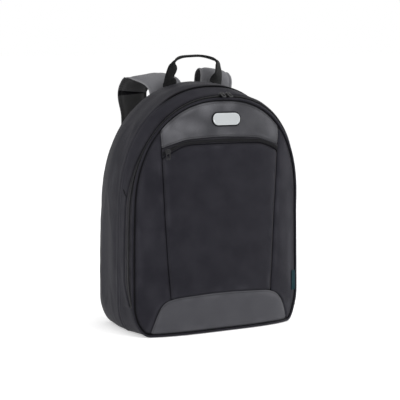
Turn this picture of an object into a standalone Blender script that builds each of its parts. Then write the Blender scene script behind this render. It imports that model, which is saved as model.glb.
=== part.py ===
"""Laptop backpack, standing on its base: cloth shell in panels, zips, piping, handle and straps.

Metres, +Z up. The front faces -Y, the wearer's back is at +Y, and the origin is the middle of
the flat base on the floor. The shape comes from the seam rings below, which run round the bag,
and from the domed front that is spanned inside the foremost ring.
"""

import math
from collections import namedtuple

import bmesh
import bpy
import numpy as np
from mathutils import Matrix, Vector

MM = 0.001

# Seam rings from the back to the front, in mm. low_half is the half width just above the floor
# and high_half the half width where the top arch starts. foot and top are the lowest and the
# highest point, and y_low and y_top the depth of the ring near the floor and at its top. The
# top arch stands to the right by shift, and its right side hangs lower by droop.
Ring = namedtuple("Ring", "low_half high_half foot top y_low y_top shift droop")
RINGS = {
    "back_edge": Ring(154, 150, 15, 404, 77, 68, 0, 0),
    "back_shoulder": Ring(160, 156, 5, 411, 70, 60, 0, 0),
    "rear_middle": Ring(162, 159, 0, 412, 29, 12, -1, 6),
    "rear_seam": Ring(160, 157.5, 0, 408, -13, -25, -2, 8),
    "zip_rear": Ring(158, 155.5, 0, 394.5, -33, -50, 7, -2),
    "zip_middle": Ring(156.5, 154, 0, 391.8, -46, -57, 4, -1),
    "front_seam": Ring(154, 152, 2.4, 388, -58, -64, 0, 0),
}
REAR_BAND = ["back_edge", "back_shoulder", "rear_middle", "rear_seam"]
FRONT_BAND = ["rear_seam", "zip_rear"]
ZIP_BAND = ["zip_rear", "zip_middle", "front_seam"]
CORNER_X = 22          # bottom corner of every ring, across
CORNER_Z = 46          # and up
ARCH_FOOT = 205        # height where the sides turn into the top arch
ARCH_POWER = 2.3       # 2 is an ellipse, more is squarer
DEPTH_TURN = 180       # height where the depth starts to change from y_low to y_top
FRONT_BOW = 26         # how far the front bottom edge bows forwards in the middle
FRONT_SKEW = 7         # how far its left end is further forward, and its right end less
BOW_HEIGHT = 60        # both end at this height
LEAN = 10              # the soft bag's top leans sideways by this much
LEAN_HEIGHT = 410      # at this height and above
LEAN_POWER = 4         # more keeps the lean nearer the top
SWAY = 1.5             # and the middle sways the other way by this much
ZIP_START = 15         # height where the main zip comes out of the front seam, on each side
ZIP_FULL = 95          # height where it has its whole width
ZIP_STEP = 0.006       # share of half a ring that the gusset takes to step round the zip's end
SHIFT_REACH = 130      # height of the arch in which its shift grows
DROOP_REACH = 110      # distance from the middle in which the droop grows

# Half a ring as shares, from the middle of the base to the middle of the top.
BASE_END, CORNER_END, SIDE_END = 0.20, 0.32, 0.52
BASE_STEPS, CORNER_STEPS, SIDE_STEPS, ARCH_STEPS = 5, 6, 5, 14

CLOTH = 1.6            # wall of the cloth
BASE_WALL = 3.0        # wall of the base with its stiffener
PIPING_R = 2.0         # front and back piping
CORD_R = 1.6           # thin piping between the two gussets
PIPING_GAP = 2.6       # from the line of the piping to a panel's edge
CORD_GAP = 2.0
SEAM_GAP = 0.4         # half the gap between panels that are sewn edge to edge
AIR = 0.35             # between pieces that lie on each other

# The front, as a flat plan of x and z in mm that is then domed.
DOME_CENTRE = 190      # height of the middle of the dome
DOME_LOW = 84          # depth of the middle of the front near the floor
DOME_HIGH = 78         # and near the top
DOME_POWER = 3.0
SEAM_HALF_FLOOR = 91   # half distance between the two long seams at the floor
SEAM_SPREAD = 0.055    # and how it grows with the height
PLAN = [(0, 66), (70, 63.5), (94, 60), (106, 54), (114, 44), (122, 26), (131, 5.2)]
KICK_EDGE = [Vector(p) for p in PLAN]       # upper edge of the foot panel, middle to side
POCKET_EDGE = [Vector(p) for p in [(0, 315), (60, 313.5), (84, 306), (112, 290)]]
YOKE_EDGE = [Vector(p) for p in [(0, 325.5), (60, 322.5), (84, 317), (112, 307.5)]]
YOKE_SIDE = 309        # height of the yoke's lower corners
POCKET_SIDE = 293      # height of the pocket panel's upper corners
COIL_RISE = 1.2        # zip coil above its tape
COIL_HALF = 2.6

PLATE_SIZE = (50, 20)
PLATE_PLACE = (5.5, 354.5)
PLATE_WALL = 1.6
RIM_WIDTH = 1.6
RIM_WALL = 1.0

PAD_SWELL = 6          # the back pad behind its own edge
PAD_WALL = 9           # and its thickness

# Carry handle: a webbing ribbon. turn is the angle of its width from X towards Y, in degrees.
HandleRow = namedtuple("HandleRow", "x y z width wall turn")
HANDLE = [
    HandleRow(-44, 56, 410.5, 25, 2.0, 0),
    HandleRow(-44, 57, 416, 25, 2.0, 0),
    HandleRow(-43.5, 58, 424, 18, 2.2, 8),
    HandleRow(-36, 60, 438, 21, 2.8, 20),
    HandleRow(-32, 61, 448, 15, 3.6, 60),
    HandleRow(-21, 61, 455, 12.5, 4.0, 90),
    HandleRow(0, 61, 457, 12.5, 4.0, 90),
    HandleRow(20, 61, 457, 12.5, 4.0, 90),
    HandleRow(40, 61, 452.5, 12.5, 4.0, 90),
    HandleRow(49.5, 61, 446, 15, 3.4, 45),
    HandleRow(51.0, 60, 437, 17, 2.8, 34),
    HandleRow(50.5, 58, 426, 20, 2.4, 24),
    HandleRow(46, 57, 416, 24, 2.0, 4),
    HandleRow(44.5, 56, 410.5, 25, 2.0, 0),
]
HANDLE_STEPS = 32
HANDLE_SEAT = 2.0      # foot of the handle above the ring back_shoulder
HANDLE_FEET = 25       # height over which the feet come down to the sloping cloth

# Shoulder straps, from the top of the back to the adjuster. roll lowers one edge, in degrees.
StrapRow = namedtuple("StrapRow", "x y z width wall roll")
STRAPS = {
    "left": [
        StrapRow(-40, 84, 375, 60, 3.0, 8),
        StrapRow(-40, 79.5, 396, 61, 3.6, 11),
        StrapRow(-42, 90, 410, 62, 8.0, 11),
        StrapRow(-48, 118, 418, 61, 9.0, 10),
        StrapRow(-55, 143, 419.5, 60, 9.0, 9),
        StrapRow(-61, 157, 410, 59, 9.0, 7),
        StrapRow(-68, 161, 391, 56, 9.0, 4),
        StrapRow(-62, 157, 350, 52, 9.0, 0),
        StrapRow(-67, 142, 290, 52, 9.0, 0),
        StrapRow(-78, 124, 220, 54, 9.0, 0),
        StrapRow(-88, 112, 160, 50, 8.0, 0),
        StrapRow(-96, 104, 122, 38, 6.0, 0),
        StrapRow(-99, 101, 106, 28, 3.5, 0),
    ],
    "right": [
        StrapRow(54, 84, 372, 61, 3.0, -8),
        StrapRow(55.5, 79.5, 392, 63, 3.6, -9),
        StrapRow(57, 79.5, 408, 63, 8.0, -9),
        StrapRow(57, 82, 422, 61, 9.0, -9),
        StrapRow(57, 91, 430, 58, 9.0, -9),
        StrapRow(56.5, 103, 424, 58, 9.0, -8),
        StrapRow(57, 110, 405, 57, 9.0, -6),
        StrapRow(58, 118, 365, 56, 9.0, -3),
        StrapRow(61, 124, 310, 56, 9.0, 0),
        StrapRow(66, 123, 250, 56, 9.0, 0),
        StrapRow(78, 116, 190, 54, 9.0, 0),
        StrapRow(92, 106, 138, 44, 7.0, 0),
        StrapRow(98, 101, 106, 28, 3.5, 0),
    ],
}
STRAP_STEPS = 32

WEBBING_WIDTH = 25
WEBBING_WALL = 1.6
WEBBING_STEPS = 44
ADJUSTER_WIDTH, ADJUSTER_HEIGHT, ADJUSTER_WALL = 34, 26, 4.0
ADJUSTER_BAR = 4
TAIL_LENGTH = 75
ANCHOR_X, ANCHOR_Z = 117, 42
ANCHOR_TOP, ANCHOR_FOOT, ANCHOR_HEIGHT, ANCHOR_WALL = 32, 48, 26, 2.0

LABEL_SIZE = (8.5, 34)
LABEL_EDGE = 151       # its edge at the piping
LABEL_Z = 72
LABEL_WALL = 0.8

Look = namedtuple("Look", "colour roughness metallic")
LOOKS = {
    "black_polyester": Look((0.022, 0.022, 0.025), 0.62, 0.0),
    "grey_polyester": Look((0.085, 0.085, 0.092), 0.58, 0.0),
    "black_trim": Look((0.006, 0.006, 0.008), 0.50, 0.0),
    "black_webbing": Look((0.012, 0.013, 0.014), 0.60, 0.0),
    "back_mesh": Look((0.015, 0.015, 0.017), 0.85, 0.0),
    "strap_grey": Look((0.16, 0.16, 0.165), 0.60, 0.0),
    "satin_metal": Look((0.70, 0.71, 0.71), 0.32, 1.0),
    "gunmetal": Look((0.10, 0.10, 0.105), 0.35, 0.9),
    "black_plastic": Look((0.010, 0.010, 0.011), 0.40, 0.0),
    "teal_ribbon": Look((0.004, 0.085, 0.105), 0.60, 0.0),
}


def start_scene():
    """An empty scene with one collection for the parts."""
    for obj in list(bpy.data.objects):
        bpy.data.objects.remove(obj)
    parts = bpy.data.collections.new("laptop_backpack")
    bpy.context.scene.collection.children.link(parts)
    return parts


def make_materials():
    made = {}
    for name, look in LOOKS.items():
        material = bpy.data.materials.new(name)
        material.use_nodes = True
        shader = material.node_tree.nodes["Principled BSDF"]
        shader.inputs["Base Color"].default_value = (*look.colour, 1)
        shader.inputs["Roughness"].default_value = look.roughness
        shader.inputs["Metallic"].default_value = look.metallic
        material.diffuse_color = (*look.colour, 1)
        made[name] = material
    return made


PARTS = start_scene()
MATERIALS = make_materials()


def smooth(t):
    t = min(1.0, max(0.0, t))
    return t * t * (3 - 2 * t)


def mix(a, b, t):
    return a + (b - a) * t


def half_ring(ring, share):
    """(x, z) at a share of the half ring, from the middle of the base to the middle of the top."""
    corner_x = ring.low_half - CORNER_X
    if share <= BASE_END:
        return corner_x * share / BASE_END, ring.foot
    if share <= CORNER_END:
        turn = (share - BASE_END) / (CORNER_END - BASE_END) * math.pi / 2
        return corner_x + CORNER_X * math.sin(turn), ring.foot + CORNER_Z * (1 - math.cos(turn))
    if share <= SIDE_END:
        up = (share - CORNER_END) / (SIDE_END - CORNER_END)
        half = mix(ring.low_half, ring.high_half, up * up)
        return half, mix(ring.foot + CORNER_Z, ARCH_FOOT, up)
    turn = (share - SIDE_END) / (1 - SIDE_END) * math.pi / 2
    cosine, sine = max(0.0, math.cos(turn)), math.sin(turn)
    rise = ring.top - ARCH_FOOT
    reach = (cosine / ring.high_half) ** ARCH_POWER + (sine / rise) ** ARCH_POWER
    reach = reach ** (-1 / ARCH_POWER)
    return reach * cosine, ARCH_FOOT + reach * sine


def ring_depth(name, x, z):
    ring = RINGS[name]
    y = mix(ring.y_low, ring.y_top, smooth((z - DEPTH_TURN) / (ring.top - DEPTH_TURN)))
    if name == "front_seam":
        low = 1 - smooth(z / BOW_HEIGHT)
        y -= low * (FRONT_BOW * (1 - (x / ring.low_half) ** 4) - FRONT_SKEW * x / ring.low_half)
    return y


def ring_point(name, v):
    """Point of a seam ring before the lean. v runs from -1, the middle of the base, over the
    left side to 0 at the top, and over the right side to 1. The rings of the main zip close on
    the front seam at the zip's lower ends."""
    ring = RINGS[name]
    x, z = half_ring(ring, 1 - abs(v))
    x = math.copysign(x, v)
    arch = smooth((z - ARCH_FOOT) / SHIFT_REACH)
    drop = ring.droop * arch * smooth(x / DROOP_REACH)
    point = Vector((x + ring.shift * arch, ring_depth(name, x, z), z - drop))
    if name in ("zip_rear", "zip_middle"):
        share = smooth((z - ZIP_START) / (ZIP_FULL - ZIP_START))
        point = ring_point("front_seam", v).lerp(point, share)
    return point


def half_shares():
    """Shares of half a ring, evenly spaced along the base, the corner, the side and the arch."""
    stretches = [(0, BASE_END, BASE_STEPS), (BASE_END, CORNER_END, CORNER_STEPS),
                 (CORNER_END, SIDE_END, SIDE_STEPS), (SIDE_END, 1, ARCH_STEPS)]
    shares = [0.0]
    for start, end, steps in stretches:
        shares += list(np.linspace(start, end, steps + 1)[1:])
    return [float(share) for share in shares]


def over_the_top(first):
    """Values of v from the left over the top to the right, from a share of half a ring on."""
    shares = [first] + [share for share in half_shares() if share > first + 0.001]
    return [share - 1 for share in shares] + [1 - share for share in reversed(shares[:-1])]


def with_zip_ends(values):
    """Adds a place just below each lower end of the main zip, where the front gusset's edge
    steps out to the front piping."""
    end = CORNER_END - ZIP_STEP
    return sorted(values + [end - 1, 1 - end])


def all_round():
    """Values of v once round, for a closed ring."""
    return over_the_top(0.0)[:-1]


def placed(point):
    """A point in mm with the bag's lean, in metres."""
    height = min(1.0, max(0.0, point[2]) / LEAN_HEIGHT)
    lean = LEAN * height ** LEAN_POWER - SWAY * math.sin(math.pi * height)
    return Vector((point[0] + lean, point[1], point[2])) * MM


def catmull(points, t):
    """Smooth curve through the points, t from 0 to 1."""
    place = min(max(t, 0.0), 1.0) * (len(points) - 1)
    i = min(int(place), len(points) - 2)
    u = place - i
    p1, p2 = points[i], points[i + 1]
    p0 = points[i - 1] if i else p1 + (p1 - p2)
    p3 = points[i + 2] if i + 2 < len(points) else p2 + (p2 - p1)
    return 0.5 * (2 * p1 + (p2 - p0) * u + (2 * p0 - 5 * p1 + 4 * p2 - p3) * u ** 2
                  + (3 * p1 - p0 - 3 * p2 + p3) * u ** 3)


def trimmed(line, gap_start, gap_end, count, fineness=40):
    """count points evenly along a smooth line, with a gap in mm kept off each end."""
    places = np.linspace(0, 1, fineness)
    steps = [catmull(line, t) for t in places]
    lengths = np.cumsum([0] + [(b - a).length for a, b in zip(steps, steps[1:])])
    wanted = np.linspace(gap_start, lengths[-1] - gap_end, count)
    return [catmull(line, float(np.interp(s, lengths, places))) for s in wanted]


def across_band(names, v, gap_start, gap_end, count):
    """count points from the first ring to the last at v, a gap in mm clear of both of them."""
    line = [ring_point(name, v) for name in names]
    lengths = []
    for name, near, far, gap in ((names[0], line[0], line[1], gap_start),
                                 (names[-1], line[-1], line[-2], gap_end)):
        along = ring_point(name, min(v + 0.004, 1)) - ring_point(name, max(v - 0.004, -1))
        crossing = along.normalized().cross((far - near).normalized()).length
        lengths.append(gap / crossing)
    points = trimmed(line, *lengths, count)
    for p in points:
        p.z = max(p.z, 0.0)
    return points


def add(name, data, material):
    obj = bpy.data.objects.new(name, data)
    data.materials.append(MATERIALS[material])
    PARTS.objects.link(obj)
    return obj


def rows_of(columns):
    return [list(row) for row in zip(*columns)]


def shell(name, rows, material, wall=CLOTH, inside=(0, 10, 190)):
    """A cloth panel: a sheet through rows of points in mm, thickened towards the inside."""
    points = [placed(p) for row in rows for p in row]
    wide = len(rows[0])
    faces = [(i * wide + j, i * wide + j + 1, (i + 1) * wide + j + 1, (i + 1) * wide + j)
             for i in range(len(rows) - 1) for j in range(wide - 1)]
    mesh = bpy.data.meshes.new(name)
    mesh.from_pydata(points, [], faces)
    facing = sum(f.normal.dot(f.center - placed(inside)) * f.area for f in mesh.polygons)
    if facing < 0:
        mesh.flip_normals()
    mesh.shade_smooth()
    obj = add(name, mesh, material)
    solid = obj.modifiers.new("wall", "SOLIDIFY")
    solid.thickness = wall * MM
    solid.offset = -1
    return obj


def tube(name, line, radius, material, cyclic, resolution=1):
    """A cord through points in mm."""
    curve = bpy.data.curves.new(name, "CURVE")
    curve.dimensions = "3D"
    spline = curve.splines.new("POLY")
    spline.points.add(len(line) - 1)
    for target, point in zip(spline.points, line):
        target.co = (*placed(point), 1)
    spline.use_cyclic_u = cyclic
    curve.bevel_depth = radius * MM
    curve.bevel_resolution = resolution
    curve.use_fill_caps = not cyclic
    return add(name, curve, material)


def loft(name, loops, material):
    """A closed body through loops of points in mm, with an end face on the first and last."""
    count = len(loops[0])
    points = [placed(p) for loop in loops for p in loop]
    faces = [(i * count + j, i * count + (j + 1) % count,
              (i + 1) * count + (j + 1) % count, (i + 1) * count + j)
             for i in range(len(loops) - 1) for j in range(count)]
    last = (len(loops) - 1) * count
    faces += [tuple(range(count)), tuple(range(last, last + count))]
    mesh = bpy.data.meshes.new(name)
    mesh.from_pydata(points, [], faces)
    body = bmesh.new()
    body.from_mesh(mesh)
    bmesh.ops.recalc_face_normals(body, faces=body.faces)
    body.to_mesh(mesh)
    body.free()
    mesh.shade_smooth()
    mesh.set_sharp_from_angle(angle=math.radians(50))
    return add(name, mesh, material)


def build_gussets():
    """Rear and front gusset, which run from one bottom corner over the top to the other."""
    shares = over_the_top(BASE_END + 0.003)
    rear = [across_band(REAR_BAND, v, PIPING_GAP + SEAM_GAP, CORD_GAP, 6) for v in shares]
    shell("rear_gusset", rows_of(rear), "black_polyester")
    front = []
    for v in with_zip_ends(shares):
        if 1 - abs(v) < CORNER_END - 0.001:
            front.append(across_band(["rear_seam", "front_seam"], v, CORD_GAP, PIPING_GAP, 3))
        else:
            front.append(across_band(FRONT_BAND, v, CORD_GAP, SEAM_GAP, 3))
    shell("front_gusset", rows_of(front), "black_polyester")


def build_base():
    """Flat base with its stiffener, turned up a little at the back edge."""
    columns = []
    for across in np.linspace(-1, 1, 2 * BASE_STEPS + 1):
        v = math.copysign(1 - abs(across) * (BASE_END - 0.003), across or 1)
        column = across_band(REAR_BAND + ["front_seam"], v, PIPING_GAP, PIPING_GAP, 10)
        for p in column:
            if p.y < RINGS["rear_middle"].y_low:
                p.z = 0.0
        columns.append(column)
    shell("base_panel", rows_of(columns), "black_polyester", BASE_WALL, (0, 0, 200))


def build_main_zip():
    """Tape and coil round the front compartment, from one side over the top to the other."""
    columns = []
    for v in over_the_top(CORNER_END):
        rear, middle, front = (ring_point(n, v) for n in ZIP_BAND)
        width = (front - rear).length
        side = (front - rear).normalized() * min(COIL_HALF, width / 6)
        out = (middle - Vector((0, 60, 190))).normalized() * COIL_RISE * min(1, width / 12)
        edge_rear = trimmed([rear, middle], 3 * SEAM_GAP, 0, 2)[0]
        edge_front = trimmed([middle, front], 0, PIPING_GAP, 2)[1]
        columns.append([edge_rear, middle - side, middle + out, middle + side, edge_front])
    shell("main_zip", rows_of(columns), "black_trim")


def inset(points, gap):
    """A plan line moved by a gap to the left of its direction."""
    moved = []
    for i, p in enumerate(points):
        ahead = points[min(i + 1, len(points) - 1)] - points[max(i - 1, 0)]
        moved.append(p + Vector((-ahead.y, ahead.x)).normalized() * gap)
    return moved


def front_plan(gap, count=400):
    """Right half of the front seam in plan, from the base up to the top, moved in by a gap."""
    shares = np.linspace(0.0, 1.0, count)
    return inset([Vector(half_ring(RINGS["front_seam"], s)) for s in shares], gap)


def outline_table():
    """Angle, radius and depth of the front seam as seen from the middle of the dome."""
    rows = []
    for v in np.linspace(-1, 1, 721)[:-1]:
        p = ring_point("front_seam", v)
        rise = p.z - DOME_CENTRE
        rows.append((math.atan2(rise, p.x), math.hypot(p.x, rise), p.y))
    table = np.array(sorted(rows))
    turn = np.array([2 * math.pi, 0, 0])
    return np.vstack([table[-3:] - turn, table, table[:3] + turn]).T


SEAM_ANGLE, SEAM_RADIUS, SEAM_DEPTH = outline_table()


def on_front(x, z, proud=0.0):
    """Point of the domed front at a place of its flat plan, in mm."""
    angle = math.atan2(z - DOME_CENTRE, x)
    radius = float(np.interp(angle, SEAM_ANGLE, SEAM_RADIUS))
    edge_y = float(np.interp(angle, SEAM_ANGLE, SEAM_DEPTH))
    share = min(1.0, math.hypot(x, z - DOME_CENTRE) / radius) ** DOME_POWER
    middle_y = -mix(DOME_LOW, DOME_HIGH, smooth(z / RINGS["front_seam"].top))
    return Vector((x, mix(middle_y, edge_y, share) - proud, z))


def seam_half(z):
    """Half distance between the two long seams of the front."""
    return SEAM_HALF_FLOOR + SEAM_SPREAD * z


def height_at(edge, x):
    """Height of an edge in plan at a distance from the middle."""
    line = [catmull(edge, t) for t in np.linspace(0, 1, 60)]
    return float(np.interp(abs(x), [p.x for p in line], [p.y for p in line]))


def width_at(line, z):
    """Distance from the middle of a rising or falling line in plan at a height."""
    order = sorted(line, key=lambda p: p.y)
    return float(np.interp(z, [p.y for p in order], [p.x for p in order]))


def spread(bottom, top, right, wide, high):
    """Rows of plan points inside four edges. bottom and top take 0 to 1 from the left to the
    right, right takes 0 to 1 upwards, and the left edge mirrors it."""
    rows = []
    for v in np.linspace(0, 1, high):
        side = right(v)
        row = []
        for u in np.linspace(0, 1, wide):
            across = Vector((mix(-side.x, side.x, u), side.y))
            along = bottom(u).lerp(top(u), v)
            corners = bottom(0).lerp(bottom(1), u).lerp(top(0).lerp(top(1), u), v)
            row.append(across + along - corners)
        rows.append(row)
    return rows


def front_shell(name, rows, material):
    return shell(name, [[on_front(p.x, p.y) for p in row] for row in rows], material)


def edge_between(edge, half, lift):
    """A function of 0 to 1 along an edge in plan, from -half to half, moved up by lift."""
    return lambda u: Vector((mix(-half, half, u), height_at(edge, mix(-half, half, u)) + lift))


def yoke_tip():
    """Where the long seam meets the front piping."""
    arch = [p for p in front_plan(PIPING_GAP) if p.y > ARCH_FOOT]
    return min(arch, key=lambda p: abs(p.x - seam_half(p.y)))


def build_yoke():
    """Grey panel above the pocket zip, up to the front piping."""
    tip = yoke_tip()
    arch = [p for p in front_plan(PIPING_GAP) if p.y > tip.y - 0.01]
    whole = [Vector((-p.x, p.y)) for p in arch] + list(reversed(arch[:-1]))
    low = Vector((seam_half(YOKE_SIDE) - SEAM_GAP, 0))
    low.y = height_at(YOKE_EDGE, low.x) + SEAM_GAP

    def top(u):
        return catmull(whole, u)

    rows = spread(edge_between(YOKE_EDGE, low.x, SEAM_GAP), top,
                  lambda v: low.lerp(Vector((whole[-1].x, whole[-1].y)), v), 17, 6)
    front_shell("yoke_panel", rows, "grey_polyester")


def build_pocket():
    """Pocket panel between the two long seams, and the zip above it."""
    bottom = Vector((seam_half(60) - SEAM_GAP, 0))
    bottom.y = height_at(KICK_EDGE, bottom.x) + 2 * SEAM_GAP
    top = Vector((seam_half(POCKET_SIDE) - SEAM_GAP, 0))
    top.y = height_at(POCKET_EDGE, top.x) - SEAM_GAP
    rows = spread(edge_between(KICK_EDGE, bottom.x, 2 * SEAM_GAP),
                  edge_between(POCKET_EDGE, top.x, -SEAM_GAP),
                  lambda v: bottom.lerp(top, v), 15, 10)
    front_shell("pocket_panel", rows, "black_polyester")

    low_edge = edge_between(POCKET_EDGE, top.x, SEAM_GAP)
    high_edge = edge_between(YOKE_EDGE, seam_half(YOKE_SIDE) - SEAM_GAP, -SEAM_GAP)
    columns = []
    for u in np.linspace(0, 1, 17):
        low, high = low_edge(u), high_edge(u)
        middle, half = low.lerp(high, 0.45), (high - low).normalized() * COIL_HALF
        line = [low, middle - half, middle, middle + half, high]
        columns.append([on_front(p.x, p.y, COIL_RISE if p == middle else 0) for p in line])
    shell("pocket_zip", rows_of(columns), "black_trim")


def build_side_panel(name, side):
    """Black panel between a long seam and the front piping."""
    kick = [catmull(KICK_EDGE, t) for t in np.linspace(0.3, 1, 80)]
    kick_side = inset(kick, 2 * SEAM_GAP)
    outline = [p for p in front_plan(PIPING_GAP) if p.y > RINGS["front_seam"].foot + 2]
    side_bottom, kick_top, tip_z = 7.0, 62.0, yoke_tip().y - 3

    def inner(z):
        half = seam_half(z) + 2 * SEAM_GAP
        return max(half, width_at(kick_side, z)) if z < kick_top else half

    heights = list(np.linspace(side_bottom, kick_top, 7)) + list(np.linspace(kick_top, tip_z, 12))[1:]
    rows = []
    for z in heights:
        near, far = inner(z), width_at(outline, z)
        rows.append([Vector((side * mix(near, far, t), z)) for t in (0, 0.35, 0.7, 1)])
    front_shell(name, rows, "black_polyester")


def build_kick_panel():
    """Grey panel along the foot of the front."""
    corner = next(i for i, p in enumerate(KICK_EDGE) if p.x > 110)
    side_line = list(reversed(KICK_EDGE[corner:]))
    top_line = KICK_EDGE[:corner + 1]
    whole_top = [Vector((-p.x, p.y)) for p in reversed(top_line)] + top_line[1:]
    foot = side_line[0]
    rows = spread(lambda u: Vector((mix(-foot.x, foot.x, u), foot.y)),
                  lambda u: catmull(whole_top, u), lambda v: catmull(side_line, v), 17, 6)
    front_shell("kick_panel", rows, "grey_polyester")


def build_piping():
    """Cords that cover the seams."""
    front = [ring_point("front_seam", v) for v in all_round()]
    back = [ring_point("back_edge", v) for v in all_round()]
    rear = [ring_point("rear_seam", v) for v in over_the_top(BASE_END + 0.003)]
    tube("front_piping", front, PIPING_R, "black_trim", True)
    tube("back_piping", back, PIPING_R, "black_trim", True)
    for p in rear:
        p.z = max(p.z, CORD_R)
    tube("rear_piping", rear, CORD_R, "black_polyester", False)


def pad_depth(z):
    """Depth of the back seam at a height."""
    return ring_depth("back_edge", 0, z)


def on_back(x, z, proud=0.0):
    """Point of the back pad's outer face, in mm."""
    middle_z = 195
    ring = RINGS["back_edge"]
    reach = max(abs(x) / ring.high_half, abs(z - middle_z) / (ring.top - middle_z))
    return Vector((x, pad_depth(z) + 1 + PAD_SWELL * (1 - min(1, reach) ** 6) + proud, z))


def build_back_panel():
    """Padded panel against the wearer's back: an outer and an inner face that meet at the rim."""
    middle = Vector((0, 195))
    loops = []
    for face, reaches in ((1, (0.3, 0.65, 0.86, 0.95, 1.0)), (-1, (1.0, 0.94, 0.4))):
        for reach in reaches:
            loop = []
            for v in all_round():
                x, z = half_ring(RINGS["back_edge"], 1 - abs(v))
                arm = Vector((math.copysign(x, v), z)) - middle
                plan = middle + arm * (1 - (PIPING_GAP + 0.3) / arm.length) * reach
                point = on_back(plan.x, plan.y)
                if face > 0:
                    point.y = mix(pad_depth(plan.y) + 1, point.y, min(1, (1 - reach) * 9))
                else:
                    point.y = pad_depth(plan.y) + 1 - mix(2, PAD_WALL - PAD_SWELL + 2,
                                                          min(1, (1 - reach) * 9))
                loop.append(point)
            loops.append(loop)
    loft("back_panel", loops, "back_mesh")


def oval(centre, across, normal, half_width, half_wall, edge_wall, sides):
    """A flat section, full in the middle and thin at its two edges."""
    loop = []
    for k in range(2 * sides):
        turn = math.pi * (k + 0.5) / sides
        u = math.cos(turn) / math.cos(math.pi / 2 / sides)
        half = mix(half_wall, edge_wall, u ** 4)
        loop.append(centre + across * (half_width * u) + normal * math.copysign(half, math.sin(turn)))
    return loop


def ribbon(name, line, widths, walls, acrosses, steps, material, edge_wall, sides, settle=None):
    """A ribbon along a smooth line, with its width, wall and width direction at each point.
    settle, a function of a point, moves its points in the end."""
    places = np.linspace(0, 1, steps)
    centres = [catmull(line, t) for t in places]
    sizes = [Vector(pair) for pair in zip(widths, walls)]
    loops = []
    for i, t in enumerate(places):
        ahead = (centres[min(i + 1, steps - 1)] - centres[max(i - 1, 0)]).normalized()
        across = catmull(acrosses, t)
        across = (across - ahead * across.dot(ahead)).normalized()
        size = catmull(sizes, t)
        loop = oval(centres[i], across, ahead.cross(across).normalized(), size.x / 2,
                    size.y / 2, min(edge_wall, size.y / 2), sides)
        loops.append([settle(p) for p in loop] if settle else loop)
    return loft(name, loops, material)


def rounded(width, height, radius, steps=4, centre=(0, 0)):
    """Outline of a rectangle with round corners."""
    points = []
    for quarter, (sx, sy) in enumerate(((1, 1), (-1, 1), (-1, -1), (1, -1))):
        for k in range(steps + 1):
            turn = math.pi / 2 * (quarter + k / steps)
            points.append((centre[0] + sx * (width / 2 - radius) + radius * math.cos(turn),
                           centre[1] + sy * (height / 2 - radius) + radius * math.sin(turn)))
    return points


def plate(name, outlines, wall, material, centre, across, up):
    """A flat piece from closed outlines, the inner ones being holes, with its X along across
    and its Y along up, and its centre at a point in mm."""
    curve = bpy.data.curves.new(name, "CURVE")
    curve.dimensions = "2D"
    curve.fill_mode = "BOTH"
    curve.extrude = wall * MM / 2
    for outline in outlines:
        spline = curve.splines.new("POLY")
        spline.points.add(len(outline) - 1)
        for target, (x, y) in zip(spline.points, outline):
            target.co = (x * MM, y * MM, 0, 1)
        spline.use_cyclic_u = True
    obj = add(name, curve, material)
    across = across.normalized()
    normal = across.cross(up).normalized()
    basis = Matrix((across, normal.cross(across), normal)).transposed()
    obj.matrix_world = Matrix.Translation(placed(centre)) @ basis.to_4x4()
    return obj


def on_top(p):
    """Brings a point near the handle's feet down onto the sloping top of the rear gusset."""
    ring = RINGS["back_shoulder"]
    arch = (1 - (abs(p.x) / ring.high_half) ** ARCH_POWER) ** (1 / ARCH_POWER)
    drop = HANDLE[0].z - ARCH_FOOT - (ring.top - ARCH_FOOT) * arch - HANDLE_SEAT
    share = 1 - smooth((p.z - HANDLE[0].z) / HANDLE_FEET)
    return Vector((p.x, p.y, p.z - drop * share))


def build_handle():
    acrosses = [Vector((math.cos(math.radians(r.turn)), math.sin(math.radians(r.turn)), 0))
                for r in HANDLE]
    ribbon("carry_handle", [Vector((r.x, r.y, r.z)) for r in HANDLE], [r.width for r in HANDLE],
           [r.wall for r in HANDLE], acrosses, HANDLE_STEPS, "black_webbing", 0.8, 4, on_top)


def build_straps():
    for side, rows in STRAPS.items():
        acrosses = [Vector((math.cos(math.radians(r.roll)), 0, math.sin(math.radians(r.roll))))
                    for r in rows]
        ribbon(f"strap_{side}", [Vector((r.x, r.y, r.z)) for r in rows],
               [r.width for r in rows], [r.wall for r in rows], acrosses, STRAP_STEPS,
               "strap_grey", 1.4, 5)


def build_plate():
    """Metal plate in its black rim, on the yoke."""
    x, z = PLATE_PLACE
    across = on_front(x + 20, z) - on_front(x - 20, z)
    up = on_front(x, z + 8) - on_front(x, z - 8)
    out = across.cross(up).normalized()
    width, height = PLATE_SIZE
    radius = height / 2 - 0.5
    point = on_front(x, z)
    plate("name_plate", [rounded(width, height, radius, 6)], PLATE_WALL, "satin_metal",
          point + out * (AIR + PLATE_WALL / 2), across, up)
    inner = 2 * AIR
    outer = inner + 2 * RIM_WIDTH
    plate("plate_rim", [rounded(width + outer, height + outer, radius + outer / 2, 6),
                        rounded(width + inner, height + inner, radius + inner / 2, 6)],
          RIM_WALL, "black_trim", point + out * (AIR + RIM_WALL / 2), across, up)


def build_slider(name, pull_name, point, along, out, pull_length):
    """Slider over a coil, and the pull tab that hangs from it."""
    out = out.normalized()
    side = out.cross(along)
    height = 2.8
    seat = COIL_RISE + AIR
    plate(name, [rounded(9.5, 7.5, 2.2, 2)], height, "gunmetal",
          point + out * (seat + height / 2), along, side)
    down = (out * out.z - Vector((0, 0, 1))).normalized()
    wall = 1.4
    eye = rounded(3.4, 3.4, 1.6, 2, (0, pull_length / 2 - 4))
    plate(pull_name, [rounded(7.5, pull_length, 2.8, 2), eye], wall, "gunmetal",
          point + out * (seat + height + AIR + wall / 2) + down * (pull_length / 2 - 3),
          out.cross(down), -down)


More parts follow.
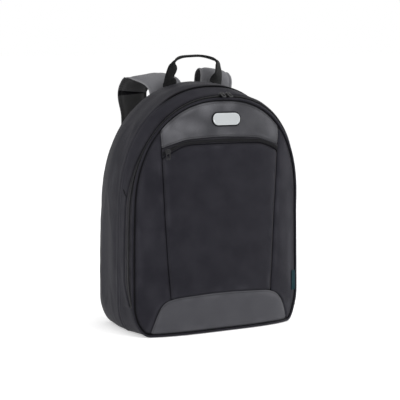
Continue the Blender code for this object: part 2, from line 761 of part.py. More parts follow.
def build_sliders():
    for number, v in ((1, -0.008), (2, 0.011)):
        point = ring_point("zip_middle", v)
        along = ring_point("zip_middle", v + 0.01) - ring_point("zip_middle", v - 0.01)
        across = ring_point("zip_rear", v) - ring_point("front_seam", v)
        build_slider(f"zip_slider_{number}", f"zip_pull_{number}", point, along,
                     along.cross(across), 14)
    x = 9 - seam_half(300)
    z = mix(height_at(POCKET_EDGE, x), height_at(YOKE_EDGE, x), 0.45)
    along = on_front(x + 4, z) - on_front(x - 4, z)
    up = on_front(x, z + 4) - on_front(x, z - 4)
    build_slider("pocket_slider", "pocket_pull", on_front(x, z), along, along.cross(up), 17)


def build_lower_straps():
    """Anchor, webbing and adjuster at the lower end of each strap."""
    for side_name, side in (("left", -1), ("right", 1)):
        end, before = STRAPS[side_name][-1], STRAPS[side_name][-2]
        down = Vector((end.x - before.x, end.y - before.y, end.z - before.z)).normalized()
        across = (Vector((1, 0, 0)) - down * down.x).normalized()
        back = across.cross(down).normalized()
        back = back if back.y > 0 else -back
        centre = Vector((end.x, end.y, end.z)) + down * (ADJUSTER_HEIGHT / 2 + AIR)
        slot = (ADJUSTER_HEIGHT - 3 * ADJUSTER_BAR) / 2
        slots = [rounded(ADJUSTER_WIDTH - 2 * ADJUSTER_BAR, slot, 1, 1,
                         (0, up * (slot + ADJUSTER_BAR) / 2)) for up in (-1, 1)]
        plate(f"adjuster_{side_name}", [rounded(ADJUSTER_WIDTH, ADJUSTER_HEIGHT, 3, 2)] + slots,
              ADJUSTER_WALL, "black_plastic", centre, across, -down)
        build_anchor(side_name, side)
        build_webbing(side_name, side, centre, down, across, back, slot)


def build_anchor(side_name, side):
    """Folded cloth tab on the back pad, low at each side, that holds the webbing."""
    rows = []
    for up in (0, 0.5, 1):
        half = mix(ANCHOR_FOOT, ANCHOR_TOP, up) / 2
        z = ANCHOR_Z + ANCHOR_HEIGHT * (up - 0.5)
        rows.append([on_back(side * ANCHOR_X + half * t, z, AIR + ANCHOR_WALL)
                     for t in (-1, -0.5, 0, 0.5, 1)])
    shell(f"anchor_{side_name}", rows, "black_webbing", ANCHOR_WALL)


def build_webbing(side_name, side, centre, down, across, back, slot):
    """Webbing from its anchor, in front of the adjuster, over its middle bar and down again."""
    step = (slot + ADJUSTER_BAR) / 2
    clear = ADJUSTER_WALL / 2 + WEBBING_WALL / 2 + 2 * AIR
    seat = AIR + ANCHOR_WALL + 5 * AIR + WEBBING_WALL / 2
    start = on_back(side * ANCHOR_X, ANCHOR_Z - 6, seat)
    leave = on_back(side * ANCHOR_X, ANCHOR_Z + 12, seat)
    flat = on_back(side * ANCHOR_X + 12, ANCHOR_Z) - on_back(side * ANCHOR_X - 12, ANCHOR_Z)
    slack = centre + down * 24 - back * clear
    line = [
        start,
        leave,
        leave.lerp(slack, 0.5) + Vector((0, 3, 0)),
        slack,
        centre + down * 15 - back * clear,
        centre + down * step - back * clear,
        centre - back * clear,
        centre - down * step - back * (clear * 0.7),
        centre - down * (step + 0.8),
        centre - down * step + back * (clear * 0.7),
        centre + back * clear,
        centre + down * step + back * clear,
        centre + down * 24 + back * (clear + 1),
        centre + Vector((0, 6, -TAIL_LENGTH)) + back * clear,
    ]
    count = len(line)
    ribbon(f"webbing_{side_name}", line, [WEBBING_WIDTH] * count, [WEBBING_WALL] * count,
           [flat.normalized()] * 3 + [across] * (count - 3), WEBBING_STEPS, "black_webbing",
           WEBBING_WALL / 2, 2)


def build_label():
    """Small ribbon that comes out of the right front seam and lies on the side panel."""
    wide, high = LABEL_SIZE
    rows = [[on_front(x, z, AIR + LABEL_WALL) for x in (LABEL_EDGE - wide, LABEL_EDGE)]
            for z in np.linspace(LABEL_Z - high / 2, LABEL_Z + high / 2, 4)]
    shell("label_tab", rows, "teal_ribbon", LABEL_WALL)


def main():
    build_gussets()
    build_base()
    build_main_zip()
    build_yoke()
    build_pocket()
    build_side_panel("side_panel_left", -1)
    build_side_panel("side_panel_right", 1)
    build_kick_panel()
    build_piping()
    build_back_panel()
    build_handle()
    build_straps()
    build_plate()
    build_sliders()
    build_lower_straps()
    build_label()


main()
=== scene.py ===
"""Looks of the laptop backpack: sewn cloth panels, zips, webbing, metal and a plain studio.

Shapes are in mm in the CAD frame, before the lean of the soft bag, and become metres in placed().
"""

import math
from collections import namedtuple

import bpy
import numpy as np
from mathutils import Matrix, Vector, noise


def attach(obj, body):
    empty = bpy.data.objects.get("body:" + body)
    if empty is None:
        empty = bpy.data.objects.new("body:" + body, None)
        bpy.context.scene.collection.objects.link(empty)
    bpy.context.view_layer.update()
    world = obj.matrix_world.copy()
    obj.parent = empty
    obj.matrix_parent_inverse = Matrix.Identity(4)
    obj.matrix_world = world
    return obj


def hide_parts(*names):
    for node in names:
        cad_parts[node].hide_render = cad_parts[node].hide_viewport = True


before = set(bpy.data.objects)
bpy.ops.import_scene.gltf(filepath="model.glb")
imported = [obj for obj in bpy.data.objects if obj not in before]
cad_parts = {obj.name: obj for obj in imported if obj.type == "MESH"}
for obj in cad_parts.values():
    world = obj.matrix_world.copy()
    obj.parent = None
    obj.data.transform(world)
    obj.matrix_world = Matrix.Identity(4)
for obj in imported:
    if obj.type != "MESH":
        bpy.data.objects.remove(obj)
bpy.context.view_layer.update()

MM = 0.001
SIDES = {"left": -1, "right": 1}

# Seam rings from the back to the front, as in the solids.
Ring = namedtuple("Ring", "low_half high_half foot top y_low y_top shift droop")
RINGS = {
    "back_edge": Ring(154, 150, 15, 404, 77, 68, 0, 0),
    "back_shoulder": Ring(160, 156, 5, 411, 70, 60, 0, 0),
    "rear_middle": Ring(162, 159, 0, 412, 29, 12, -1, 6),
    "rear_seam": Ring(160, 157.5, 0, 408, -13, -25, -2, 8),
    "zip_rear": Ring(158, 155.5, 0, 394.5, -33, -50, 7, -2),
    "zip_middle": Ring(156.5, 154, 0, 391.8, -46, -57, 4, -1),
    "front_seam": Ring(154, 152, 2.4, 388, -58, -64, 0, 0),
}
REAR_BAND = ["back_edge", "back_shoulder", "rear_middle", "rear_seam"]
FRONT_BAND = ["rear_seam", "zip_rear"]
ZIP_BAND = ["zip_rear", "zip_middle", "front_seam"]
CORNER_X, CORNER_Z = 22, 46
ARCH_FOOT, ARCH_POWER = 205, 2.3
DEPTH_TURN = 180
FRONT_BOW, FRONT_SKEW, BOW_HEIGHT = 26, 7, 60
LEAN, LEAN_HEIGHT, LEAN_POWER, SWAY = 10, 410, 4, 1.5
ZIP_START, ZIP_FULL = 15, 95
SHIFT_REACH, DROOP_REACH = 130, 110
BASE_END, CORNER_END, SIDE_END = 0.20, 0.32, 0.52
FINE_STEPS = (18, 20, 26, 84)      # along half a ring: base, corner, side, arch
BASE_SEAM, ZIP_STEP = 0.003, 0.001 # shares of half a ring

CLOTH = 1.2
BASE_WALL = 3.0
PIPING_R, CORD_R = 1.8, 1.3
PIPING_GAP, FRONT_GAP, CORD_GAP, SEAM_GAP = 2.2, 3.8, 1.4, 0.3
SIDE_GAPS = {"left": 3.8, "right": 2.7}
FLANGE_REACH, FLANGE_DEPTH = 7, 1.7
AIR = 0.35

DOME_CENTRE, DOME_LOW, DOME_HIGH, DOME_POWER = 190, 84, 78, 3.0
SEAM_HALF_FLOOR, SEAM_SPREAD = 91, 0.055
KICK_EDGE, POCKET_EDGE, YOKE_EDGE = ([Vector(p) for p in line] for line in (
    [(0, 66), (70, 63.5), (94, 60), (106, 54), (114, 44), (122, 26), (131, 5.2)],
    [(0, 315), (60, 313.5), (84, 306), (112, 290)],
    [(0, 325.5), (60, 322.5), (84, 317), (112, 307.5)],
))
YOKE_SIDE, POCKET_SIDE = 309, 293
COIL_RISE, COIL_HALF = 1.2, 2.6
COIL_PLACE = 0.45                  # of the pocket zip, from the pocket's edge to the yoke's
YOKE_COLUMNS, POCKET_COLUMNS, KICK_COLUMNS = 111, 91, 111
TOOTH_PITCH, PULL_LENGTH = 1.7, 17
POCKET_RISE, KICK_BULGE = 5.5, 5.5

PLATE_SIZE, PLATE_PLACE, PLATE_WALL = (50, 20), (5.5, 354.5), 1.6
RIM_WIDTH, RIM_WALL = 1.6, 1.0
PAD_SWELL, PAD_WALL, PAD_MIDDLE = 6, 9, 195
QUILT_LEVELS = (128, 262)
QUILT_RIM, QUILT_FOOT, QUILT_DEPTH, QUILT_HALF = 22, 80, 2.8, 4.5
LINING_GAP = 4.0

# Ribbons as rows of a point, width, wall and turn. The turn of the width is in degrees, from X
# towards Y on the handle and towards Z on the straps.
Row = namedtuple("Row", "x y z width wall turn")
HANDLE = [Row(*row) for row in (
    (-44, 56, 410.5, 25, 2.0, 0), (-44, 57, 416, 25, 2.0, 0), (-43.5, 58, 424, 18, 2.2, 8),
    (-36, 60, 438, 21, 2.8, 20), (-32, 61, 448, 15, 3.6, 60), (-21, 61, 455, 12.5, 4.0, 90),
    (0, 61, 457, 12.5, 4.0, 90), (20, 61, 457, 12.5, 4.0, 90), (40, 61, 452.5, 12.5, 4.0, 90),
    (49.5, 61, 446, 15, 3.4, 45), (51.0, 60, 437, 17, 2.8, 34), (50.5, 58, 426, 20, 2.4, 24),
    (46, 57, 416, 24, 2.0, 4), (44.5, 56, 410.5, 25, 2.0, 0),
)]
HANDLE_SEAT, HANDLE_FEET = 1.6, 25
# Stitches of the handle, by frame along it and share of its half width: boxes at both feet and
# one row down the grip.
HANDLE_STEPS, FOOT_BOX, GRIP_ROW, BOX_EDGE, GRIP_EDGE = 150, (3, 20), (50, 108), 0.72, 0.62

STRAPS = {
    "left": [Row(*row) for row in (
        (-40, 84, 375, 60, 3.0, 8), (-40, 79.5, 396, 61, 3.6, 11), (-42, 90, 410, 62, 8.0, 11),
        (-48, 118, 418, 61, 9.0, 10), (-55, 143, 419.5, 60, 9.0, 9), (-61, 157, 410, 59, 9.0, 7),
        (-68, 161, 391, 56, 9.0, 4), (-62, 157, 350, 52, 9.0, 0), (-67, 142, 290, 52, 9.0, 0),
        (-78, 124, 220, 54, 9.0, 0), (-88, 112, 160, 50, 8.0, 0), (-96, 104, 122, 38, 6.0, 0),
        (-99, 101, 106, 28, 3.5, 0),
    )],
    "right": [Row(*row) for row in (
        (54, 84, 372, 61, 3.0, -8), (55.5, 79.5, 392, 63, 3.6, -9), (57, 79.5, 408, 63, 8.0, -9),
        (57, 82, 422, 61, 9.0, -9), (57, 91, 430, 58, 9.0, -9), (56.5, 103, 424, 58, 9.0, -8),
        (57, 110, 405, 57, 9.0, -6), (58, 118, 365, 56, 9.0, -3), (61, 124, 310, 56, 9.0, 0),
        (66, 123, 250, 56, 9.0, 0), (78, 116, 190, 54, 9.0, 0), (92, 106, 138, 44, 7.0, 0),
        (98, 101, 106, 28, 3.5, 0),
    )],
}

# Painted sheen on the cloth: lighter places that stand for soft highlights, as x, z, half width,
# half height and amount.
YOKE_SHEEN = [(-88, 329, 24, 14, 0.95), (-66, 343, 30, 14, 0.75), (-28, 378, 18, 20, 0.95),
             (12, 378, 12, 12, 0.6), (1, 335, 12, 10, 0.45), (-101, 346, 9, 18, 0.9),
             (82, 368, 22, 12, 0.4), (93, 340, 10, 18, 0.55)]
ZIP_SHEEN = [(-150, 170, 50, 190, 0.9), (86, 366, 52, 44, 0.9)]
POCKET_ZIP_SHEEN = [(0, 315, 220, 60, 0.75)]
FRONT_GUSSET_SHEEN = [(-50, 385, 100, 60, 0.38), (-125, 320, 40, 60, 0.3),
                     (70, 380, 60, 40, 0.3)]
SIDE_SHEEN = {
    "left": [(-141, 270, 6, 60, 0.5), (-128, 175, 12, 30, 0.45), (-143, 120, 6, 34, 0.5),
             (-118, 300, 8, 26, 0.35), (-122, 66, 14, 18, 0.3)],
    "right": [(138, 110, 6, 60, 0.8), (126, 270, 12, 44, 0.6), (134, 200, 9, 40, 0.5),
              (120, 160, 8, 30, 0.35), (138, 30, 5, 12, 0.9)],
}

# Painted highlight streaks on the sides of the rear gusset, as y, z, half width, half height and
# amount.
GUSSET_SHEEN = [(15, 258, 4, 22, 0.6), (27, 226, 4, 26, 0.5), (-2, 312, 4, 18, 0.5),
               (10, 335, 4, 14, 0.45), (40, 120, 6, 60, 0.25)]
# The seam with the thin cord: a groove, which becomes a raised ridge with a painted highlight down
# the left side.
SEAM_SHEEN, SEAM_SHEEN_REACH, SEAM_GROOVE, SEAM_RIDGE = 0.7, 4.0, 1.3, 0.7
LEFT_FROM, LEFT_BLEND = 80, 24
# A small fold on the left of the front gusset, drawn as a thin near-black cord that paints the
# fold's shade, as y and z.
FOLD = [(-24, 240), (-27, 236), (-31, 232), (-36, 229)]
FOLD_R = 0.7

STRAP_STEPS = 220
STRAP_SEAM = {"left": 0.50, "right": 0.53}      # shares of the strap's length
SEAM_SHARE, BINDING, BOUND_FROM = 0.006, 0.84, 0.74
# SEAM_SHADE is near-black painted shade in the pinched seam across a strap; LINED_LIGHTENED is the
# lightened lining below it.
MESH, BOUND, SEAM_SHADE, LINED_LIGHTENED = 1, 2, 3, 4           # material slots of a strap after its outer cloth

WEBBING_WIDTH, WEBBING_WALL = 25, 1.6
ADJUSTER_WIDTH, ADJUSTER_HEIGHT, ADJUSTER_WALL, ADJUSTER_BAR = 34, 26, 4.0, 4
TAIL_LENGTH = 75
ANCHOR_X, ANCHOR_Z = 117, 42
ANCHOR_TOP, ANCHOR_FOOT, ANCHOR_HEIGHT, ANCHOR_WALL = 32, 48, 26, 2.0

LABEL_SIZE, LABEL_EDGE, LABEL_Z, LABEL_WALL = (8.5, 34), 151, 72, 0.8

STITCH_LENGTH, STITCH_PITCH, THREAD_R = 2.6, 3.6, 0.22


def smooth(t):
    t = min(1.0, max(0.0, t))
    return t * t * (3 - 2 * t)


def mix(a, b, t):
    return a + (b - a) * t


def even(count):
    """Even shares from 0 to 1."""
    return np.linspace(0, 1, count)


# Materials

class Value:
    """Output of a shader node. Arithmetic on it adds math nodes to its tree."""

    def __init__(self, socket):
        self.socket = socket

    def math(self, operation, other=0.0, swapped=False):
        made = self.socket.id_data.nodes.new("ShaderNodeMath")
        made.operation = operation
        for socket, value in zip(made.inputs, (other, self) if swapped else (self, other)):
            put(socket, value)
        return Value(made.outputs[0])

    def __add__(self, other):
        return self.math("ADD", other)

    def __sub__(self, other):
        return self.math("SUBTRACT", other)

    def __rsub__(self, other):
        return self.math("SUBTRACT", other, swapped=True)

    def __mul__(self, other):
        return self.math("MULTIPLY", other)


def put(socket, value):
    """Sets a socket to a number, to a colour of three numbers, or to what a Value gives."""
    if isinstance(value, Value):
        socket.id_data.links.new(value.socket, socket)
    else:
        socket.default_value = (*value, 1) if isinstance(value, tuple) else value


def fill(made, values):
    """Sets a node's sockets and settings by name."""
    for key, value in values.items():
        name = key.replace("_", " ")
        if name in made.inputs:
            put(made.inputs[name], value)
        else:
            setattr(made, key, value)


def node(tree, kind, output=0, **values):
    made = tree.nodes.new("ShaderNode" + kind)
    fill(made, values)
    return Value(made.outputs[output])


def blended(fac, first, second):
    """Colour between two colours."""
    made = fac.socket.id_data.nodes.new("ShaderNodeMix")
    made.data_type = "RGBA"
    for index, value in ((0, fac), (6, first), (7, second)):
        put(made.inputs[index], value)
    return Value(made.outputs[2])


def new_material(name, **values):
    """A material, its node tree and its shader with these values."""
    material = bpy.data.materials.new(name)
    material.use_nodes = True
    shader = material.node_tree.nodes["Principled BSDF"]
    fill(shader, values)
    return material, material.node_tree, shader


def weave_height(tree, threads):
    """Height of a plain weave, 0 to 1, with threads of these widths in mm along the UV map."""
    uv = node(tree, "UVMap", uv_map="metres")
    across, along = (node(tree, "SeparateXYZ", axis, Vector=uv) * (1000 / width)
                     for axis, width in enumerate(threads))
    over = [(place * math.pi).math("SINE").math("ABSOLUTE") for place in (across, along)]
    odd = (across.math("FLOOR") + along.math("FLOOR")).math("MODULO", 2).math("ABSOLUTE")
    return over[0] * odd + over[1] * (1 - odd)


def cloth_material(name, colour, paler, roughness, threads, relief, sheen=0.0, specular=0.3,
                   mottle=0.25, patch_size=30.0):
    """Woven cloth: threads in mm, relief of the weave in mm, a paler colour for random mottling and
    for painted sheen.
    """
    material, tree, shader = new_material(name, Specular_IOR_Level=specular, Sheen_Weight=sheen,
                                          Sheen_Roughness=0.45)
    place = node(tree, "TexCoord", "Object")
    height = weave_height(tree, threads)
    broad = node(tree, "TexNoise", Scale=1000 / patch_size, Detail=3.0, Roughness=0.55,
                 Vector=place)
    fine = node(tree, "TexNoise", Scale=900.0, Detail=2.0, Vector=place)
    small = node(tree, "TexNoise", Scale=160.0, Detail=3.0, Vector=place)
    # painted_sheen is painted highlight: lighter streaks and patches that stand for light caught by
    # the cloth. The broad noise is random mottling of the cloth's tone.
    painted_sheen = node(tree, "Attribute", "Fac", attribute_name="painted_sheen")
    amount = (broad - 0.35) * (mottle * 2.2) + painted_sheen * (fine + 0.3)
    surface = blended(amount.math("MAXIMUM", 0.0).math("MINIMUM", 1.0), colour, paler)
    # Darker between the threads: painted shade in the gaps of the weave.
    gap_shade = (1 - height) * 0.45
    bump = node(tree, "Bump", Strength=0.7, Distance=relief * MM, Height=height)
    fill(shader, {
        "Base Color": blended(gap_shade, surface, tuple(c * 0.35 for c in colour)),
        "Roughness": broad * 0.16 + (roughness - 0.08),
        "Normal": node(tree, "Bump", Strength=0.35, Distance=0.4 * MM, Height=small, Normal=bump),
    })
    return material


def spacer_material(name, colour, paler):
    """Padded mesh with round holes, for the faces against the wearer."""
    material, tree, shader = new_material(name, Specular_IOR_Level=0.08, Roughness=0.85)
    uv = node(tree, "UVMap", uv_map="metres")
    hole = node(tree, "TexVoronoi", Scale=420.0, Randomness=0.15, Vector=uv)
    hole = hole.math("SMOOTH_MIN", 0.45)
    fill(shader, {
        # The mesh is paler on its threads and darker in the holes: painted shade in the recesses.
        "Base Color": blended(hole.math("SUBTRACT", 0.45, swapped=True) * 2.2, paler, colour),
        "Normal": node(tree, "Bump", Strength=0.8, Distance=0.35 * MM, Height=hole),
    })
    return material


def hard_material(name, colour, roughness, metallic, grain, scratch=0.3, specular=0.5):
    """Metal or plastic with a fine grain and a few rubbed places."""
    material, tree, shader = new_material(name, Metallic=metallic, Specular_IOR_Level=specular)
    place = node(tree, "TexCoord", "Object")
    fine = node(tree, "TexNoise", Scale=grain, Detail=4.0, Roughness=0.6, Vector=place)
    broad = node(tree, "TexNoise", Scale=70.0, Detail=2.0, Vector=place)
    lighter = tuple(min(1.0, c * 1.35 + 0.01) for c in colour)
    fill(shader, {
        "Base Color": blended(broad * scratch, colour, lighter),
        "Roughness": fine * 0.14 + (roughness - 0.07),
        "Normal": node(tree, "Bump", Strength=0.25, Distance=0.05 * MM, Height=fine),
    })
    return material


BLACK = cloth_material("black_polyester", (0.0125, 0.0120, 0.0172), (0.034, 0.033, 0.041), 0.58,
                       (0.55, 0.5), 0.06, sheen=0.03, specular=0.10, mottle=0.42, patch_size=38.0)
GREY = cloth_material("grey_polyester", (0.045, 0.045, 0.051), (0.138, 0.138, 0.150), 0.52,
                      (0.6, 0.55), 0.07, sheen=0.04, specular=0.12, mottle=0.3, patch_size=42.0)
KICK_GREY = cloth_material("kick_polyester", (0.058, 0.058, 0.066), (0.095, 0.095, 0.105), 0.55,
                           (0.6, 0.55), 0.07, sheen=0.03, specular=0.12, mottle=0.3)
# Near-black trim: the colour of the lining and of the plate's recess, and painted shade where it
# lines the fold, the groove beside the front piping and the seams across the straps.
TRIM_AND_SHADE = cloth_material("black_trim", (0.0025, 0.0025, 0.0035), (0.008, 0.008, 0.01), 0.55,
                      (0.7, 0.7), 0.08, specular=0.10)
TAPE = cloth_material("zip_tape", (0.0035, 0.0035, 0.0045), (0.032, 0.031, 0.038), 0.6,
                      (0.9, 0.6), 0.1, specular=0.08)
WEBBING = cloth_material("black_webbing", (0.0055, 0.0058, 0.0062), (0.020, 0.0205, 0.0215), 0.62,
                         (2.1, 0.9), 0.22, sheen=0.03, specular=0.10)
STRAP_OUT = cloth_material("strap_outer", (0.15, 0.15, 0.161), (0.22, 0.22, 0.235), 0.6,
                           (0.8, 0.75), 0.1, sheen=0.05, specular=0.12, mottle=0.25)
STRAP_EDGE = cloth_material("strap_edge", (0.19, 0.19, 0.20), (0.28, 0.28, 0.29), 0.6,
                            (0.8, 0.75), 0.1, sheen=0.05, specular=0.12, mottle=0.25)
STRAP_IN = spacer_material("strap_inner", (0.020, 0.020, 0.021), (0.060, 0.060, 0.062))
# A lightened copy of the black cloth for the lower inner face of the straps: painted light that
# offsets the shade it lies in.
STRAP_LINING_LIGHTENED = cloth_material("strap_lining_lightened", (0.030, 0.030, 0.031), (0.060, 0.060, 0.060), 0.6,
                              (0.6, 0.5), 0.08, sheen=0.04, specular=0.12, mottle=0.35)
BACK = spacer_material("back_mesh", (0.006, 0.006, 0.007), (0.020, 0.020, 0.022))
RIBBON = cloth_material("teal_ribbon", (0.002, 0.021, 0.027), (0.003, 0.045, 0.056), 0.6,
                        (0.35, 0.3), 0.05, specular=0.08)
THREAD = cloth_material("thread", (0.010, 0.010, 0.011), (0.03, 0.03, 0.032), 0.6, (0.3, 0.3),
                        0.03)
COIL = hard_material("zip_coil", (0.009, 0.009, 0.0105), 0.42, 0.0, 900.0, specular=0.3)
PLATE_METAL = hard_material("satin_metal", (0.61, 0.635, 0.645), 0.36, 1.0, 1400.0, 0.15)
GUNMETAL = hard_material("gunmetal", (0.026, 0.026, 0.028), 0.28, 0.7, 700.0)
PLASTIC = hard_material("black_plastic", (0.009, 0.009, 0.010), 0.42, 0.0, 1200.0)


# Shapes, as in the solids

def half_ring(ring, share):
    """(x, z) at a share of the half ring, from the middle of the base to the middle of the top."""
    corner_x = ring.low_half - CORNER_X
    if share <= BASE_END:
        return corner_x * share / BASE_END, ring.foot
    if share <= CORNER_END:
        turn = (share - BASE_END) / (CORNER_END - BASE_END) * math.pi / 2
        return corner_x + CORNER_X * math.sin(turn), ring.foot + CORNER_Z * (1 - math.cos(turn))
    if share <= SIDE_END:
        up = (share - CORNER_END) / (SIDE_END - CORNER_END)
        half = mix(ring.low_half, ring.high_half, up * up)
        return half, mix(ring.foot + CORNER_Z, ARCH_FOOT, up)
    turn = (share - SIDE_END) / (1 - SIDE_END) * math.pi / 2
    cosine, sine = max(0.0, math.cos(turn)), math.sin(turn)
    rise = ring.top - ARCH_FOOT
    reach = (cosine / ring.high_half) ** ARCH_POWER + (sine / rise) ** ARCH_POWER
    reach = reach ** (-1 / ARCH_POWER)
    return reach * cosine, ARCH_FOOT + reach * sine


def ring_depth(name, x, z):
    ring = RINGS[name]
    y = mix(ring.y_low, ring.y_top, smooth((z - DEPTH_TURN) / (ring.top - DEPTH_TURN)))
    if name == "front_seam":
        low = 1 - smooth(z / BOW_HEIGHT)
        y -= low * (FRONT_BOW * (1 - (x / ring.low_half) ** 4) - FRONT_SKEW * x / ring.low_half)
    return y


def ring_point(name, v):
    """Point of a seam ring. v runs from -1, the middle of the base, over the left side to 0 at
    the top, and over the right side to 1."""
    ring = RINGS[name]
    x, z = half_ring(ring, 1 - abs(v))
    x = math.copysign(x, v)
    arch = smooth((z - ARCH_FOOT) / SHIFT_REACH)
    drop = ring.droop * arch * smooth(x / DROOP_REACH)
    point = Vector((x + ring.shift * arch, ring_depth(name, x, z), z - drop))
    if name in ("zip_rear", "zip_middle"):
        share = smooth((z - ZIP_START) / (ZIP_FULL - ZIP_START))
        point = ring_point("front_seam", v).lerp(point, share)
    return point


def over_the_top(first):
    """Values of v from the left over the top to the right, from a share of half a ring on."""
    ends = (0, BASE_END, CORNER_END, SIDE_END, 1)
    shares = [0.0]
    for start, end, steps in zip(ends, ends[1:], FINE_STEPS):
        shares += [float(s) for s in np.linspace(start, end, steps + 1)[1:]]
    shares = [first] + [share for share in shares if share > first + 0.001]
    return [share - 1 for share in shares] + [1 - share for share in reversed(shares[:-1])]


def with_zip_ends(values):
    """Adds a place just below each lower end of the main zip, where the front gusset's edge
    steps out to the front piping."""
    end = CORNER_END - ZIP_STEP
    return sorted(values + [end - 1, 1 - end])


def all_round():
    return over_the_top(0.0)[:-1]


def placed(points):
    """Points in mm with the bag's lean, in metres, as rows of an array."""
    points = np.array(points, float)
    height = np.clip(points[:, 2], 0, LEAN_HEIGHT) / LEAN_HEIGHT
    points[:, 0] += LEAN * height ** LEAN_POWER - SWAY * np.sin(math.pi * height)
    return points * MM


def catmull(points, t):
    """Smooth curve through the points, t from 0 to 1."""
    place = min(max(t, 0.0), 1.0) * (len(points) - 1)
    i = min(int(place), len(points) - 2)
    u = place - i
    p1, p2 = points[i], points[i + 1]
    p0 = points[i - 1] if i else p1 + (p1 - p2)
    p3 = points[i + 2] if i + 2 < len(points) else p2 + (p2 - p1)
    return 0.5 * (2 * p1 + (p2 - p0) * u + (2 * p0 - 5 * p1 + 4 * p2 - p3) * u ** 2
                  + (3 * p1 - p0 - 3 * p2 + p3) * u ** 3)


def trimmed(line, gap_start, gap_end, count, fineness=30):
    """count points evenly along a smooth line, with a gap in mm kept off each end."""
    places = even(fineness)
    steps = [catmull(line, t) for t in places]
    lengths = np.cumsum([0] + [(b - a).length for a, b in zip(steps, steps[1:])])
    wanted = np.linspace(gap_start, lengths[-1] - gap_end, count)
    return [catmull(line, float(np.interp(s, lengths, places))) for s in wanted]


def across_band(names, v, gap_start, gap_end, count):
    """count points from the first ring to the last at v, a gap in mm clear of both of them."""
    line = [ring_point(name, v) for name in names]
    lengths = []
    for name, near, far, gap in ((names[0], line[0], line[1], gap_start),
                                 (names[-1], line[-1], line[-2], gap_end)):
        along = ring_point(name, min(v + 0.004, 1)) - ring_point(name, max(v - 0.004, -1))
        crossing = along.normalized().cross((far - near).normalized()).length
        lengths.append(gap / crossing)
    points = trimmed(line, *lengths, count)
    for p in points:
        p.z = max(p.z, 0.0)
    return points


def inset(points, gap):
    """A plan line moved by a gap to the left of its direction."""
    moved = []
    for i, p in enumerate(points):
        ahead = points[min(i + 1, len(points) - 1)] - points[max(i - 1, 0)]
        moved.append(p + Vector((-ahead.y, ahead.x)).normalized() * gap)
    return moved


def front_plan(gap, count=400):
    shares = even(count)
    return inset([Vector(half_ring(RINGS["front_seam"], s)) for s in shares], gap)


def outline_table():
    """Angle, radius and depth of the front seam as seen from the middle of the dome."""
    rows = []
    for v in np.linspace(-1, 1, 721)[:-1]:
        p = ring_point("front_seam", v)
        rise = p.z - DOME_CENTRE
        rows.append((math.atan2(rise, p.x), math.hypot(p.x, rise), p.y))
    table = np.array(sorted(rows))
    turn = np.array([2 * math.pi, 0, 0])
    return np.vstack([table[-3:] - turn, table, table[:3] + turn]).T


SEAM_ANGLE, SEAM_RADIUS, SEAM_DEPTH = outline_table()


def on_front(x, z, proud=0.0):
    """Point of the domed front at a place of its flat plan."""
    angle = math.atan2(z - DOME_CENTRE, x)
    radius = float(np.interp(angle, SEAM_ANGLE, SEAM_RADIUS))
    edge_y = float(np.interp(angle, SEAM_ANGLE, SEAM_DEPTH))
    share = min(1.0, math.hypot(x, z - DOME_CENTRE) / radius) ** DOME_POWER
    middle_y = -mix(DOME_LOW, DOME_HIGH, smooth(z / RINGS["front_seam"].top))
    return Vector((x, mix(middle_y, edge_y, share) - proud, z))


def seam_half(z):
    return SEAM_HALF_FLOOR + SEAM_SPREAD * z


def edge_heights(edge, xs):
    """Heights of an edge in plan at distances from the middle."""
    line = [catmull(edge, t) for t in even(80)]
    return np.interp(np.abs(xs), [p.x for p in line], [p.y for p in line])


def height_at(edge, x):
    return float(edge_heights(edge, np.array([x]))[0])


def pocket_rise(x):
    """How much higher the top edge of the pocket is on the right than on the left."""
    return POCKET_RISE * smooth((x - 52) / 55)


def kick_bulge(z):
    """How far the right edge of the kick panel bows out."""
    return KICK_BULGE * math.sin(math.pi * min(1.0, max(0.0, (z - 4) / 56)))


def width_at(line, z):
    order = sorted(line, key=lambda p: p.y)
    return float(np.interp(z, [p.y for p in order], [p.x for p in order]))


def on_back(x, z, proud=0.0):
    """Point of the back pad's outer face."""
    ring = RINGS["back_edge"]
    reach = max(abs(x) / ring.high_half, abs(z - PAD_MIDDLE) / (ring.top - PAD_MIDDLE))
    swell = PAD_SWELL * (1 - min(1, reach) ** 6)
    return Vector((x, ring_depth("back_edge", 0, z) + 1 + swell + proud, z))


# Cloth as a grid of points

def left_share(x):
    """From 0 over the top of the bag to 1 down its left side."""
    return np.clip((-x - LEFT_FROM) / LEFT_BLEND, 0, 1)


def noise_over(points, size, seed, stretch=(1, 1, 1)):
    """Smooth noise from -1 to 1 at each point of an array, with bumps of this size in mm."""
    flat = points.reshape(-1, 3) / (np.array(stretch) * size) + seed * 7.3
    return np.array([noise.noise(Vector(p)) for p in flat]).reshape(points.shape[:-1])


